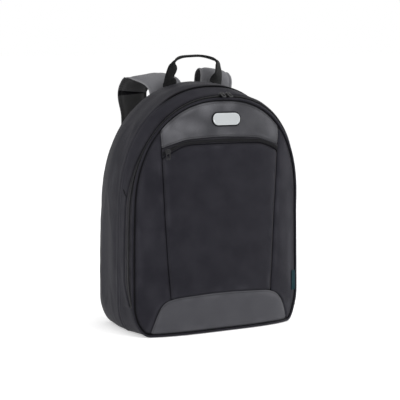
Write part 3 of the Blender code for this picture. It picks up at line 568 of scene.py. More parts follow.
class Patch:
    """A cloth surface through rows of points in mm, with seams along the edges that are named."""

    def __init__(self, rows, seams="left right bottom top", inside=(0, 10, 190)):
        self.points = np.array(rows, float)
        self.along, self.up = self.lengths(1), self.lengths(0)
        n = np.cross(np.gradient(self.points, axis=0), np.gradient(self.points, axis=1))
        n /= np.linalg.norm(n, axis=2, keepdims=True) + 1e-9
        self.flipped = (n * (self.points - np.array(inside))).sum() < 0
        self.normals = -n if self.flipped else n
        self.painted_sheen = np.zeros(self.points.shape[:2])
        self.edges = {"left": self.along, "right": self.along[:, -1:] - self.along,
                      "bottom": self.up, "top": self.up[-1:] - self.up}
        self.seams = [self.edges[name] for name in seams.split()]

    def lengths(self, axis):
        """Length in mm from the first row or column, along the grid."""
        steps = np.linalg.norm(np.diff(self.points, axis=axis), axis=2)
        pad = [(1, 0), (0, 0)] if axis == 0 else [(0, 0), (1, 0)]
        return np.cumsum(np.pad(steps, pad), axis=axis)

    def move(self, amount):
        self.points += self.normals * np.asarray(amount)[..., None]

    def sew(self, seed, pucker, size=16.0, reach=14.0, depth=1.4, width=2.4, seams=None):
        """Rolls the cloth in at its seams, puckers it beside them, and adds painted highlight
        streaks beside them.
        """
        for number, distance in enumerate(self.seams if seams is None else seams):
            self.move(-depth * np.exp(-(distance / width) ** 2))
            waves = noise_over(self.points, size, seed + number)
            beside = (1 - np.exp(-(distance / 3) ** 2)) * np.exp(-distance / reach)
            self.move(pucker * waves * beside)
            # A band of painted highlight streaks beside each seam, standing for light caught by the
            # puckers.
            band = np.exp(-((distance - 5) / 4.5) ** 2)
            streaks = noise_over(self.points, 28, seed + number + 40)
            self.painted_sheen = np.maximum(self.painted_sheen, band * np.clip(0.12 + 0.9 * streaks, 0, 1))

    def sew_to_cord(self, seed, distance):
        """The seam with the thin cord: a groove over the top, a raised ridge with a painted
        highlight on the left.
        """
        left = left_share(self.points[..., 0])
        self.sew(seed, 1.0, 26, 26, mix(SEAM_GROOVE, -SEAM_RIDGE, left), 2.6, [distance])
        ridge = np.exp(-((distance - 2) / SEAM_SHEEN_REACH) ** 2)
        self.painted_sheen = np.maximum(self.painted_sheen, SEAM_SHEEN * left * ridge)

    def paint_sheen(self, places, axis=0):
        """Painted highlights: lighter patches, each as x or y, z, half width, half height and
        amount.
        """
        for along, z, wide, high, amount in places:
            reach = (((self.points[..., axis] - along) / wide) ** 2
                     + ((self.points[..., 2] - z) / high) ** 2)
            mottled = 0.9 + 0.5 * noise_over(self.points, 17, 81)
            self.painted_sheen = np.maximum(self.painted_sheen, amount * np.exp(-reach ** 1.4) * mottled)

    def move_inside(self, amount, width):
        """Moves the cloth by an amount that fades out at the seams."""
        for distance in self.seams:
            amount = amount * (1 - np.exp(-(distance / width) ** 2))
        self.move(amount)

    def billow(self, height, size, seed, stretch=(1, 1, 1)):
        """Broad soft unevenness."""
        self.move_inside(height * noise_over(self.points, size, seed, stretch), 12)

    def creases(self, height, size, seed, stretch=(1, 1, 1)):
        """Narrow ridges, as in cloth that was folded."""
        waves = noise_over(self.points, size, seed, stretch)
        broken = 0.5 + 0.5 * noise_over(self.points, size * 1.7, seed + 3)
        self.move_inside(height * (np.exp(-(waves / 0.10) ** 2) * broken), 10)

    def stitch(self, edge, distance):
        """A row of stitches, in from an edge by a distance in mm."""
        upright = edge in ("left", "right")
        points, outs = [], []
        for k in range(self.points.shape[0 if upright else 1]):
            line = (k, slice(None)) if upright else (slice(None), k)
            order = np.argsort(self.edges[edge][line])
            reach = self.edges[edge][line][order]
            for values, found in ((self.points, points), (self.normals, outs)):
                found.append(interpolated(distance, reach, values[line][order]))
        stitch_line(points, outs)

    def finish(self, name, material, slot, *nodes, wall=CLOTH, **stitches):
        """The piece of cloth, stitched along its edges at distances in mm."""
        for edge, distance in stitches.items():
            self.stitch(edge, distance)
        rows, cols = self.points.shape[:2]
        index = np.arange(rows * cols).reshape(rows, cols)
        quads = np.stack([index[:-1, :-1], index[:-1, 1:], index[1:, 1:], index[1:, :-1]], -1)
        quads = quads.reshape(-1, 4)
        if not self.flipped:
            quads = quads[:, ::-1]
        mesh = new_mesh(name, self.points.reshape(-1, 3), quads.tolist())
        give_uv(mesh, np.stack([self.along.ravel(), self.up.ravel()], -1) * MM)
        give_painted_sheen(mesh, np.clip(self.painted_sheen, 0, 1))
        obj = add(name, mesh, material)
        solid = obj.modifiers.new("wall", "SOLIDIFY")
        solid.thickness = wall * MM
        solid.offset = -1
        return finished(obj, slot, *nodes)


def new_mesh(name, points, faces):
    """A smooth mesh from points in mm."""
    mesh = bpy.data.meshes.new(name)
    mesh.from_pydata(placed(points).tolist(), [], faces)
    mesh.shade_smooth()
    return mesh


def give_uv(mesh, uv):
    """A UV map in metres from one place for each vertex."""
    corner = np.empty(len(mesh.loops), np.int32)
    mesh.loops.foreach_get("vertex_index", corner)
    layer = mesh.uv_layers.new(name="metres")
    layer.data.foreach_set("uv", np.asarray(uv, np.float32)[corner].ravel())


# Painted sheen per vertex: how far the cloth's colour is lightened to stand for highlights.
def give_painted_sheen(mesh, painted_sheen):
    values = mesh.attributes.new("painted_sheen", "FLOAT", "POINT").data
    values.foreach_set("value", np.asarray(painted_sheen).ravel())


def link(name, data):
    obj = bpy.data.objects.new(name, data)
    bpy.context.scene.collection.objects.link(obj)
    return obj


def add(name, data, material):
    data.materials.append(material)
    return link(name, data)


def finished(obj, slot, *nodes):
    """The piece rides with the bag and stands for these nodes. The slot is not used."""
    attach(obj, "root")
    if nodes:
        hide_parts(*nodes)
    return obj


def skin(name, loops, material, closed_line=False, painted_sheen=None):
    """A body through loops of points in mm. Its UV map runs round each loop and along them."""
    count = len(loops[0])
    grid = np.array(loops, float)
    faces = []
    for i in range(len(loops) if closed_line else len(loops) - 1):
        a, b = i * count, (i + 1) % len(loops) * count
        faces += [(a + j, a + (j + 1) % count, b + (j + 1) % count, b + j) for j in range(count)]
    if not closed_line:
        last = (len(loops) - 1) * count
        faces += [tuple(reversed(range(count))), tuple(range(last, last + count))]
    mesh = new_mesh(name, grid.reshape(-1, 3), faces)
    steps = np.linalg.norm(np.diff(grid, axis=0), axis=2).mean(axis=1)
    along = np.concatenate([[0], np.cumsum(steps)])
    round_steps = np.linalg.norm(np.diff(grid, axis=1), axis=2)
    around = np.concatenate([np.zeros((len(loops), 1)), np.cumsum(round_steps, axis=1)], axis=1)
    uv = np.stack([around, np.repeat(along[:, None], count, axis=1)], -1).reshape(-1, 2)
    give_uv(mesh, uv * MM)
    if painted_sheen is not None:
        give_painted_sheen(mesh, painted_sheen)
    if volume_sign(grid.reshape(-1, 3), faces) < 0:
        mesh.flip_normals()
    return add(name, mesh, material)


def volume_sign(points, faces):
    middle = points.mean(axis=0)
    corners = (points[list(face[:3])] for face in faces[::3])
    return sum(float(np.dot(a - middle, np.cross(b - a, c - a))) for a, b, c in corners)


def tube(name, line, radius, material, cyclic, sides=10, painted_sheen=None):
    """A round cord along points in mm."""
    points = [Vector(p) for p in line]
    count = len(points)
    loops = []
    for i, p in enumerate(points):
        after = points[(i + 1) % count] if cyclic else points[min(i + 1, count - 1)]
        before = points[i - 1] if cyclic or i else points[0]
        ahead = (after - before).normalized()
        side = ahead.cross(Vector((0, 1, 0)))
        side = side.normalized() if side.length > 0.01 else Vector((1, 0, 0))
        out = side.cross(ahead)
        loops.append([p + radius * (side * math.cos(a) + out * math.sin(a))
                      for a in np.linspace(0, 2 * math.pi, sides, endpoint=False)])
    painted_sheen = None if painted_sheen is None else np.repeat(painted_sheen, sides)
    return skin(name, loops, material, closed_line=cyclic, painted_sheen=painted_sheen)


# Stitches and zip teeth

def bars(name, places, size, material, profile=0.6):
    """Many small rounded bars as one mesh. Each place is (centre, along, out) in mm, and size is
    (length along, width, height). profile is the width of the top over that of the foot."""
    section = [(-0.5, 0.0), (0.5, 0.0), (0.5, 0.55), (0.5 * profile, 1.0),
               (-0.5 * profile, 1.0), (-0.5, 0.55)]
    corners = np.array([(end, *corner) for end in (-0.5, 0.5) for corner in section]) * size
    sides = [(k, (k + 1) % 6, (k + 1) % 6 + 6, k + 6) for k in range(6)]
    ends = [(5, 4, 3, 2, 1, 0), (6, 7, 8, 9, 10, 11)]
    points, faces = [], []
    for number, (centre, along, out) in enumerate(places):
        along = Vector(along).normalized()
        out = Vector(out)
        out = (out - along * out.dot(along)).normalized()
        side = out.cross(along)
        points += [Vector(centre) + along * a + side * s + out * h for a, s, h in corners]
        faces += [tuple(number * 12 + k for k in face) for face in sides + ends]
    mesh = new_mesh(name, points, faces)
    mesh.uv_layers.new(name="metres")
    mesh.set_sharp_from_angle(angle=math.radians(45))
    return add(name, mesh, material)


def interpolated(wanted, lengths, values):
    """Rows of values at wanted lengths along them."""
    columns = np.array(values, float).T
    return np.stack([np.interp(wanted, lengths, column) for column in columns], -1)


def evenly(line, pitch):
    """Places along a line at an even pitch: their centres, directions and shares of the line, and
    the lengths along it of its own points."""
    points = np.array(line, float)
    lengths = np.concatenate([[0], np.cumsum(np.linalg.norm(np.diff(points, axis=0), axis=1))])
    wanted = np.arange(pitch / 2, lengths[-1], pitch)
    centres, ahead, behind = (interpolated(wanted + step, lengths, points)
                              for step in (0, 0.5, -0.5))
    return centres, ahead - behind, wanted / lengths[-1], lengths


STITCHES = []


def stitch_line(points, outs):
    """A row of stitches along points in mm, with the outward direction at each of them."""
    centres, directions, shares, lengths = evenly(points, STITCH_PITCH)
    normal = interpolated(shares * lengths[-1], lengths, outs)
    STITCHES.extend(zip(centres - normal * 0.05, directions, normal))


def teeth(name, line, outs, sides):
    """Two rows of interlocking coil loops along a zip."""
    centres, directions, shares, _ = evenly(line, TOOTH_PITCH)
    places = even(len(line))
    out, side = (interpolated(shares, places, rows) for rows in (outs, sides))
    found = []
    for i, centre in enumerate(centres):
        for sign in (-1, 1):
            ahead = directions[i] / np.linalg.norm(directions[i]) * TOOTH_PITCH * 0.25 * sign
            found.append((centre + side[i] * sign * 0.75 + ahead, side[i], out[i]))
    finished(bars(name, found, (3.6, 0.75, 1.1), COIL, 0.5), "black_trim")


# Cloth panels

def rows_of(columns):
    return [list(row) for row in zip(*columns)]


def build_gussets():
    shares = over_the_top(BASE_END + BASE_SEAM)
    rear = Patch(rows_of([across_band(REAR_BAND, v, PIPING_GAP, CORD_GAP, 26) for v in shares]),
                 "bottom top")
    rear.sew(2, 0.9, 20, 20, seams=rear.seams[:1])
    rear.sew_to_cord(5, rear.edges["top"])
    rear.paint_sheen(GUSSET_SHEEN, axis=1)
    rear.billow(2.4, 60, 4, (1, 0.6, 3))
    rear.creases(0.8, 46, 9, (1.2, 0.7, 2.6))
    rear.finish("rear_gusset_cloth", BLACK, "black_polyester", "rear_gusset", bottom=4.5, top=4.0)

    columns = []
    for v in with_zip_ends(shares):
        below = 1 - abs(v) < CORNER_END - ZIP_STEP / 2
        columns.append(across_band(["rear_seam", "front_seam"] if below else FRONT_BAND, v,
                                   CORD_GAP, PIPING_GAP if below else SEAM_GAP, 14))
    front = Patch(rows_of(columns), "bottom top")
    front.sew_to_cord(12, front.edges["bottom"])
    front.sew(13, 0.6, 18, 12, 0.9, 2.0, front.seams[1:])
    front.paint_sheen(FRONT_GUSSET_SHEEN)
    front.billow(1.2, 40, 14, (1, 0.6, 2.4))
    left = front.points[front.points[..., 0] < 0]
    fold = []
    for y, z in FOLD:
        nearest = min(left, key=lambda p: (p[1] - y) ** 2 + (p[2] - z) ** 2)
        fold.append(Vector((nearest[0] - FOLD_R / 2, y, z)))
    front.finish("front_gusset_cloth", BLACK, "black_polyester", "front_gusset",
                 bottom=3.5, top=2.6)
    # Near-black cord along the fold: painted shade of the crease.
    finished(tube("gusset_fold_shade", fold, FOLD_R, TRIM_AND_SHADE, False), "black_polyester")


def build_base():
    columns = []
    for across in np.linspace(-1, 1, 61):
        v = math.copysign(1 - abs(across) * (BASE_END - BASE_SEAM), across or 1)
        column = across_band(REAR_BAND + ["front_seam"], v, PIPING_GAP, PIPING_GAP, 40)
        for p in column:
            if p.y < RINGS["rear_middle"].y_low:
                p.z = 0.0
        columns.append(column)
    patch = Patch(rows_of(columns), inside=(0, 0, 200))
    patch.finish("base_cloth", BLACK, "black_polyester", "base_panel", wall=BASE_WALL)


def build_lining():
    """Dark inner bag, so that no light falls through the seams."""
    def loop(name, share=1.0):
        points = []
        for v in all_round():
            p = ring_point(name, v)
            arm = Vector((p.x, 0, p.z - DOME_CENTRE))
            arm *= (1 - LINING_GAP / arm.length) * share
            z = DOME_CENTRE + arm.z
            if name == "front_seam":
                p.y = on_front(arm.x, z).y + LINING_GAP
            elif share < 1:
                p.y -= PAD_WALL
            points.append(Vector((arm.x, p.y, z)))
        return points

    loops = [loop("front_seam", share) for share in (0.1, 0.3, 0.5, 0.7, 0.85, 0.95, 1.0)]
    loops += [loop(name) for name in ZIP_BAND[1::-1] + REAR_BAND[:1:-1]]
    loops += [loop("back_edge", share) for share in (0.9, 0.6, 0.1)]
    finished(skin("lining", loops, TRIM_AND_SHADE), "black_trim")


def build_zip(name, columns, line, outs, sides, sheen_places, stitched=()):
    """Tape through columns of points, stitched along some of its rows, with teeth on a line."""
    tape = Patch(rows_of(columns))
    for row in stitched:
        stitch_line(tape.points[row], tape.normals[row])
    tape.paint_sheen(sheen_places)
    tape.finish(f"{name}_tape", TAPE, "black_trim", name)
    teeth(f"{name}_teeth", line, outs, sides)


def build_main_zip():
    columns, line, outs, sides = [], [], [], []
    for v in over_the_top(CORNER_END):
        rear, middle, front = (ring_point(n, v) for n in ZIP_BAND)
        side = (front - rear).normalized()
        half = min(COIL_HALF, (front - rear).length / 6)
        out = (middle - Vector((0, 60, 190))).normalized()
        out = (out - side * out.dot(side)).normalized()
        edge_rear = trimmed([rear, middle], 2 * SEAM_GAP, 0, 2)[0]
        edge_front = trimmed([middle, front], 0, PIPING_GAP, 2)[1]
        bed = middle - out * 0.5
        columns.append([edge_rear - out * 0.8, edge_rear.lerp(bed, 0.5), bed - side * half, bed,
                        bed + side * half, edge_front.lerp(bed, 0.5), edge_front - out * 0.8])
        line.append(bed)
        outs.append(out)
        sides.append(side)
    build_zip("main_zip", columns, line, outs, sides, ZIP_SHEEN, (1, 5))


def spread(bottoms, tops, rights):
    """Rows of plan points inside four edges, given as points. The left edge mirrors the right."""
    rows = []
    us = even(len(bottoms))
    for v, side in zip(even(len(rights)), rights):
        row = []
        for u, bottom, top in zip(us, bottoms, tops):
            across = Vector((mix(-side.x, side.x, u), side.y))
            corners = bottoms[0].lerp(bottoms[-1], u).lerp(tops[0].lerp(tops[-1], u), v)
            row.append(across + bottom.lerp(top, v) - corners)
        rows.append(row)
    return rows


def along(start, end, count):
    """count points along a straight line."""
    return [start.lerp(end, t) for t in even(count)]


def along_curve(line, count, first=0):
    """count points along a smooth line."""
    return [catmull(line, t) for t in np.linspace(first, 1, count)]


def mirrored(line):
    """The line on the left that mirrors a line on the right, in the other direction."""
    return [Vector((-p.x, p.y)) for p in reversed(line)]


def edge_line(edge, half, lift, count):
    xs = np.linspace(-half, half, count)
    return [Vector((x, z + lift)) for x, z in zip(xs, edge_heights(edge, xs))]


def edge_end(edge, z, lift):
    """Where an edge of the front, moved up by lift, meets the long seam at about a height."""
    end = Vector((seam_half(z) - SEAM_GAP, 0))
    end.y = height_at(edge, end.x) + lift
    return end


def front_patch(rows, seams="left right bottom top"):
    return Patch([[on_front(p.x, p.y) for p in row] for row in rows], seams)


def yoke_tip():
    arch = [p for p in front_plan(FRONT_GAP) if p.y > ARCH_FOOT]
    return min(arch, key=lambda p: abs(p.x - seam_half(p.y)))


def build_yoke():
    tip = yoke_tip()
    arch = [p for p in front_plan(FRONT_GAP) if p.y > tip.y - 0.01]
    tops = along_curve([Vector((-p.x, p.y)) for p in arch] + arch[-2::-1], YOKE_COLUMNS)
    low = edge_end(YOKE_EDGE, YOKE_SIDE, SEAM_GAP)
    patch = front_patch(spread(edge_line(YOKE_EDGE, low.x, SEAM_GAP, YOKE_COLUMNS), tops,
                               along(low, tops[-1], 44)))
    patch.sew(21, 0.9, 15, 16)
    patch.billow(1.5, 52, 25)
    patch.creases(0.9, 46, 27, (1.0, 1.0, 1.5))
    patch.paint_sheen(YOKE_SHEEN)
    patch.finish("yoke_cloth", GREY, "grey_polyester", "yoke_panel",
                 bottom=3.0, top=3.5, left=3.0, right=3.0)


def build_pocket():
    bottom = edge_end(KICK_EDGE, 60, 2 * SEAM_GAP)
    top = edge_end(POCKET_EDGE, POCKET_SIDE, -SEAM_GAP)
    rows = spread(edge_line(KICK_EDGE, bottom.x, 2 * SEAM_GAP, POCKET_COLUMNS),
                  edge_line(POCKET_EDGE, top.x, -SEAM_GAP, POCKET_COLUMNS),
                  along(bottom, top, 100))
    for share, row in zip(even(len(rows)), rows):
        for p in row:
            p.y += pocket_rise(p.x) * share ** 2
    patch = front_patch(rows)
    patch.sew(31, 0.6, 18, 14)
    patch.billow(1.2, 95, 33)
    patch.finish("pocket_cloth", BLACK, "black_polyester", "pocket_panel",
                 top=3.0, left=3.0, right=3.0)

    low_edge = edge_line(POCKET_EDGE, top.x, SEAM_GAP, POCKET_COLUMNS)
    for p in low_edge:
        p.y += pocket_rise(p.x)
    high_edge = edge_line(YOKE_EDGE, seam_half(YOKE_SIDE) - SEAM_GAP, -SEAM_GAP, POCKET_COLUMNS)
    columns, line, sides = [], [], []
    for low, high in zip(low_edge, high_edge):
        middle, half = low.lerp(high, COIL_PLACE), (high - low).normalized() * COIL_HALF
        plan = [low, low.lerp(middle - half, 0.5), middle - half, middle, middle + half, high]
        proud = (-0.8, 0, -0.4, -0.4, -0.4, -0.8)
        columns.append([on_front(p.x, p.y, up) for p, up in zip(plan, proud)])
        across = on_front(*(middle + half)) - on_front(*(middle - half))
        line.append(on_front(middle.x, middle.y, -0.4))
        sides.append(across.normalized())
    outs = [Vector((0, -1, 0))] * len(line)
    build_zip("pocket_zip", columns, line, outs, sides, POCKET_ZIP_SHEEN)


def build_side_panel(side_name, side):
    kick_side = inset(along_curve(KICK_EDGE, 80, 0.3), 2 * SEAM_GAP)
    foot = RINGS["front_seam"].foot + 2
    outline = [p for p in front_plan(SIDE_GAPS[side_name]) if p.y > foot]
    kick_top = 62.0
    heights = [*np.linspace(7.0, kick_top, 30), *np.linspace(kick_top, yoke_tip().y - 3, 110)[1:]]
    rows = []
    for z in heights:
        near, far = seam_half(z) + 2 * SEAM_GAP, width_at(outline, z)
        if z < kick_top:
            bulge = kick_bulge(z) if side > 0 else 0
            near = max(near, width_at(kick_side, z) + bulge)
        rows.append([Vector((side * mix(near, far, t), z)) for t in even(22)])
    patch = front_patch(rows, "left right")
    patch.sew(41 + side, 0.9, 22, 15)
    patch.billow(1.6, 60, 45 + side, (1, 1, 1.6))
    patch.paint_sheen(SIDE_SHEEN[side_name])
    patch.finish(f"side_cloth_{side_name}", BLACK, "black_polyester", f"side_panel_{side_name}",
                 right=3.8)


def build_kick_panel():
    corner = next(i for i, p in enumerate(KICK_EDGE) if p.x > 110)
    side_line, top_line = KICK_EDGE[:corner - 1:-1], KICK_EDGE[:corner + 1]
    foot = side_line[0]
    rows = spread([Vector((x, foot.y)) for x in np.linspace(-foot.x, foot.x, KICK_COLUMNS)],
                  along_curve(mirrored(top_line) + top_line[1:], KICK_COLUMNS),
                  along_curve(side_line, 34))
    for row in rows:
        for p in row:
            p.x += kick_bulge(p.y) * smooth((p.x - 60) / (row[-1].x - 60))
    patch = front_patch(rows)
    patch.sew(51, 0.5, 18, 12)
    patch.billow(0.9, 70, 53)
    patch.finish("kick_cloth", KICK_GREY, "grey_polyester", "kick_panel",
                 top=3.0, left=3.0, right=3.0)


def build_flange_shade():
    """Dark edge of the front piping, sewn in under the front panels, near-black to paint the shadow
    in the groove beside the cord.
    """
    pairs = list(zip(front_plan(0.3, 260), front_plan(FLANGE_REACH, 260)))
    depths = (0.4, FLANGE_DEPTH, FLANGE_DEPTH, FLANGE_DEPTH + 0.6)
    columns = []
    for side in (-1, 1):
        for near, far in pairs[::-side]:
            line = [near.lerp(far, t) for t in (0, 0.3, 0.6, 1)]
            columns.append([on_front(side * abs(p.x), p.y, -d) for p, d in zip(line, depths)])
    Patch(rows_of(columns)).finish("piping_flange_shade", TRIM_AND_SHADE, "black_trim", wall=0.6)


def build_piping():
    front = [ring_point("front_seam", v) for v in all_round()]
    back = [ring_point("back_edge", v) for v in all_round()]
    rear = [ring_point("rear_seam", v) for v in over_the_top(BASE_END + BASE_SEAM)]
    for p in rear:
        p.z = max(p.z, CORD_R)
    for name, line, radius, material, cyclic in (
            ("front", front, PIPING_R, BLACK, True), ("back", back, PIPING_R, BLACK, True),
            ("rear", rear, CORD_R, TAPE, False)):
        # Painted highlight along the cords: down the left side, and on the front cord low on the
        # right.
        painted_sheen = [left_share(p.x) for p in line]
        if name == "front":        # painted highlight low on the right
            painted_sheen = [0.8 * smooth((p.x - 120) / 20) * smooth((280 - p.z) / 60) for p in line]
        cord = tube(f"{name}_piping_cord", line, radius, material, cyclic, painted_sheen=painted_sheen)
        finished(cord, "black_trim" if cyclic else "black_polyester", f"{name}_piping")


def build_back_panel():
    """Padded panel against the wearer's back, quilted by sewn grooves."""
    ring = RINGS["back_edge"]
    shares = even(400)
    outline = inset([Vector(half_ring(ring, share)) for share in shares], PIPING_GAP + SEAM_GAP)
    low, high = outline[0].y, outline[-1].y
    arms = sorted((math.atan2(p.x, p.y - DOME_CENTRE), math.hypot(p.x, p.y - DOME_CENTRE))
                  for p in outline)
    turns, radii = zip(*arms)

    def on_pad(x, z):
        """Point of the pad without its grooves, and its distance from the pad's edge."""
        arm = math.hypot(x, z - DOME_CENTRE)
        radius = float(np.interp(math.atan2(abs(x), z - DOME_CENTRE), turns, radii))
        near = min(1, max(0, 1 - arm / radius) * 9)
        y = mix(ring_depth("back_edge", 0, z) + 1, on_back(x, z).y, math.sin(near * math.pi / 2))
        return Vector((x, y, z)), max(0, radius - arm)

    rows, rims = [], []
    sides = [p for p in outline if p.y > low + 0.01]
    for turn in np.linspace(0, math.pi, 140):
        z = mix(low, high, 0.5 - 0.5 * math.cos(turn))
        half = max(3.0, width_at(sides, z))
        found = [on_pad(x, z) for x in np.linspace(-half, half, 111)]
        rows.append([p for p, _ in found])
        rims.append([rim for _, rim in found])
    patch = Patch(rows)
    x, z, rim = patch.points[..., 0], patch.points[..., 2], np.array(rims)
    cross = np.minimum.reduce([np.abs(x)] + [np.abs(z - level) for level in QUILT_LEVELS])
    cross = np.where(rim > QUILT_RIM, cross, 99)
    around = np.where(z > QUILT_FOOT, np.abs(rim - QUILT_RIM), 99)
    patch.move(-QUILT_DEPTH * np.exp(-(np.minimum(cross, around) / QUILT_HALF) ** 2))
    pad = patch.finish("back_pad", BACK, "back_mesh", "back_panel", wall=PAD_WALL - 2)

    def sewn(places):
        points = [on_pad(*place)[0] - Vector((0, QUILT_DEPTH - 0.2, 0)) for place in places]
        stitch_line(points, [Vector((0, 1, 0))] * len(points))

    sewn([(0, z) for z in np.linspace(low + QUILT_RIM, high - QUILT_RIM, 90)])
    for level in QUILT_LEVELS:
        half = width_at(sides, level) - QUILT_RIM
        sewn([(x, level) for x in np.linspace(-half, half, 70)])


def flat_profile(half_wall, count=9):
    """Half section of a ribbon, as shares of its half width with the half thickness there."""
    us = np.sin(np.linspace(-math.pi / 2, math.pi / 2, count))
    return [(float(u), max(0.05, half_wall * (1 - abs(u) ** 14) ** 0.5)) for u in us]


def padded_profile(half_wall, edge_wall=1.3, count=31):
    """Foam pad between two bound edges, which start at BINDING of the half width."""
    pairs = []
    for u in np.sin(np.linspace(-math.pi / 2, math.pi / 2, count)):
        reach = abs(float(u))
        if reach > BINDING:
            bead = (reach - BINDING) / (1 - BINDING)
            half = edge_wall * (0.55 + 0.75 * math.sqrt(max(0.0, 1 - (2 * bead - 1) ** 2)))
            half = half if bead < 0.999 else 0.2
        else:
            half = mix(half_wall, edge_wall * 0.55, (reach / BINDING) ** 5)
        pairs.append((float(u), half))
    return pairs


def ribbon(name, line, widths, walls, acrosses, steps, material, profile, settle=None, seam=None):
    """A ribbon along a smooth line. profile gives its section from half its wall, and seam is
    the place of a sewn seam across it."""
    places = even(steps)
    centres = [catmull(line, t) for t in places]
    sizes = [Vector(pair) for pair in zip(widths, walls)]
    loops, frames = [], []
    for i, t in enumerate(places):
        ahead = (centres[min(i + 1, steps - 1)] - centres[max(i - 1, 0)]).normalized()
        across = catmull(acrosses, t)
        across = (across - ahead * across.dot(ahead)).normalized()
        normal = ahead.cross(across).normalized()
        size = catmull(sizes, t)
        if seam is not None:
            size.y *= 1 - 0.6 * math.exp(-((t - seam) / SEAM_SHARE) ** 2)
        pairs = profile(size.y / 2)
        loop = [centres[i] + across * (size.x / 2 * u) + normal * t for u, t in pairs]
        loop += [centres[i] + across * (size.x / 2 * u) - normal * t for u, t in reversed(pairs)]
        loops.append([settle(p) for p in loop] if settle else loop)
        frames.append((centres[i], across, normal, size))
    return skin(name, loops, material), loops, frames


def on_top(p):
    """Brings a point of the handle down, near its feet, onto the sloping top of the bag."""
    ring = RINGS["back_shoulder"]
    arch = (1 - (abs(p.x) / ring.high_half) ** ARCH_POWER) ** (1 / ARCH_POWER)
    drop = HANDLE[0].z - ARCH_FOOT - (ring.top - ARCH_FOOT) * arch - HANDLE_SEAT
    share = 1 - smooth((p.z - HANDLE[0].z) / HANDLE_FEET)
    return Vector((p.x, p.y, p.z - drop * share))


def row_parts(rows, axis):
    """Points, widths, walls and width directions of a ribbon's rows, with their turn from X
    towards an axis."""
    acrosses = []
    for row in rows:
        across = Vector((math.cos(math.radians(row.turn)), 0, 0))
        across[axis] = math.sin(math.radians(row.turn))
        acrosses.append(across)
    points = [Vector(row[:3]) for row in rows]
    return points, [row.width for row in rows], [row.wall for row in rows], acrosses


def build_handle():
    handle, _, frames = ribbon("handle_webbing", *row_parts(HANDLE, 1), HANDLE_STEPS, WEBBING,
                               flat_profile, on_top)
    finished(handle, "black_webbing", "carry_handle")

    def stitched(places, facing):
        """Stitches through places given as frame number and share of the half width."""
        found, outs = [], []
        for number, u in places:
            centre, across, normal, size = frames[number]
            found.append(on_top(centre + across * (size.x / 2 * u) + normal * facing * size.y / 2))
            outs.append(normal * facing)
        stitch_line(found, outs)

    for facing in (-1, 1):
        for low, high in (FOOT_BOX, [HANDLE_STEPS - 1 - k for k in reversed(FOOT_BOX)]):
            for u in (-BOX_EDGE, BOX_EDGE):
                stitched([(k, u) for k in range(low, high)], facing)
            for k in (low, high - 1):
                stitched([(k, u) for u in np.linspace(-BOX_EDGE, BOX_EDGE, 12)], facing)
        stitched([(k, GRIP_EDGE) for k in range(*GRIP_ROW)], facing)


def build_straps():
    for side, rows in STRAPS.items():
        strap, loops, frames = ribbon(f"strap_pad_{side}", *row_parts(rows, 2), STRAP_STEPS,
                                      STRAP_OUT, padded_profile, seam=STRAP_SEAM[side])
        # Spacer mesh, bound edges, near-black painted shade for the seam, and the lightened lining.
        for material in (STRAP_IN, STRAP_EDGE, TRIM_AND_SHADE, STRAP_LINING_LIGHTENED):
            strap.data.materials.append(material)
        colour_strap(strap, len(loops[0]), STRAP_SEAM[side])
        finished(strap, "strap_grey", f"strap_{side}")
        for sign in (-1, 1):
            points = [c + across * (sign * size.x / 2 * 0.80) + normal * (0.62 * size.y / 2)
                      for c, across, normal, size in frames]
            stitch_line(points, [normal for _, _, normal, _ in frames])


def colour_strap(strap, count, seam):
    """Outer cloth on one face, spacer mesh and a lightened lining cloth on the other, painted shade
    in the pinched seam, and bound edges.
    """
    half = count // 2
    for polygon in strap.data.polygons:
        if len(polygon.vertices) > 4:
            continue
        places = [v % count for v in polygon.vertices]
        j = min(places) if max(places) - min(places) < count - 1 else count - 1
        t = (min(polygon.vertices) // count + 0.5) / (STRAP_STEPS - 1)
        reach = abs((j % half + 0.5) / half * 2 - 1)
        if j < half:
            on_seam = abs(t - seam) < SEAM_SHARE
            polygon.material_index = SEAM_SHADE if on_seam else LINED_LIGHTENED if t > seam else MESH
        elif reach > BOUND_FROM:
            polygon.material_index = BOUND


def rounded(width, height, radius, steps=8, centre=(0, 0)):
    """Outline of a rectangle with round corners."""
    points = []
    for quarter, (sx, sy) in enumerate(((1, 1), (-1, 1), (-1, -1), (1, -1))):
        for k in range(steps + 1):
            turn = math.pi / 2 * (quarter + k / steps)
            points.append((centre[0] + sx * (width / 2 - radius) + radius * math.cos(turn),
                           centre[1] + sy * (height / 2 - radius) + radius * math.sin(turn)))
    return points


def plate(name, outlines, wall, material, centre, across, up, bevel=0.25):
    """A flat piece with rounded edges, from closed outlines of which the inner ones are holes."""
    curve = bpy.data.curves.new(name, "CURVE")
    curve.dimensions = "2D"
    curve.fill_mode = "BOTH"
    curve.extrude = (wall / 2 - bevel) * MM
    curve.bevel_depth = bevel * MM
    curve.bevel_resolution = 2
    curve.offset = -bevel * MM
    for outline in outlines:
        spline = curve.splines.new("POLY")
        spline.points.add(len(outline) - 1)
        for target, (x, y) in zip(spline.points, outline):
            target.co = (x * MM, y * MM, 0, 1)
        spline.use_cyclic_u = True
    obj = add(name, curve, material)
    across = Vector(across).normalized()
    normal = across.cross(up).normalized()
    basis = Matrix((across, normal.cross(across), normal)).transposed()
    obj.matrix_world = Matrix.Translation(Vector(placed([centre])[0])) @ basis.to_4x4()
    return obj


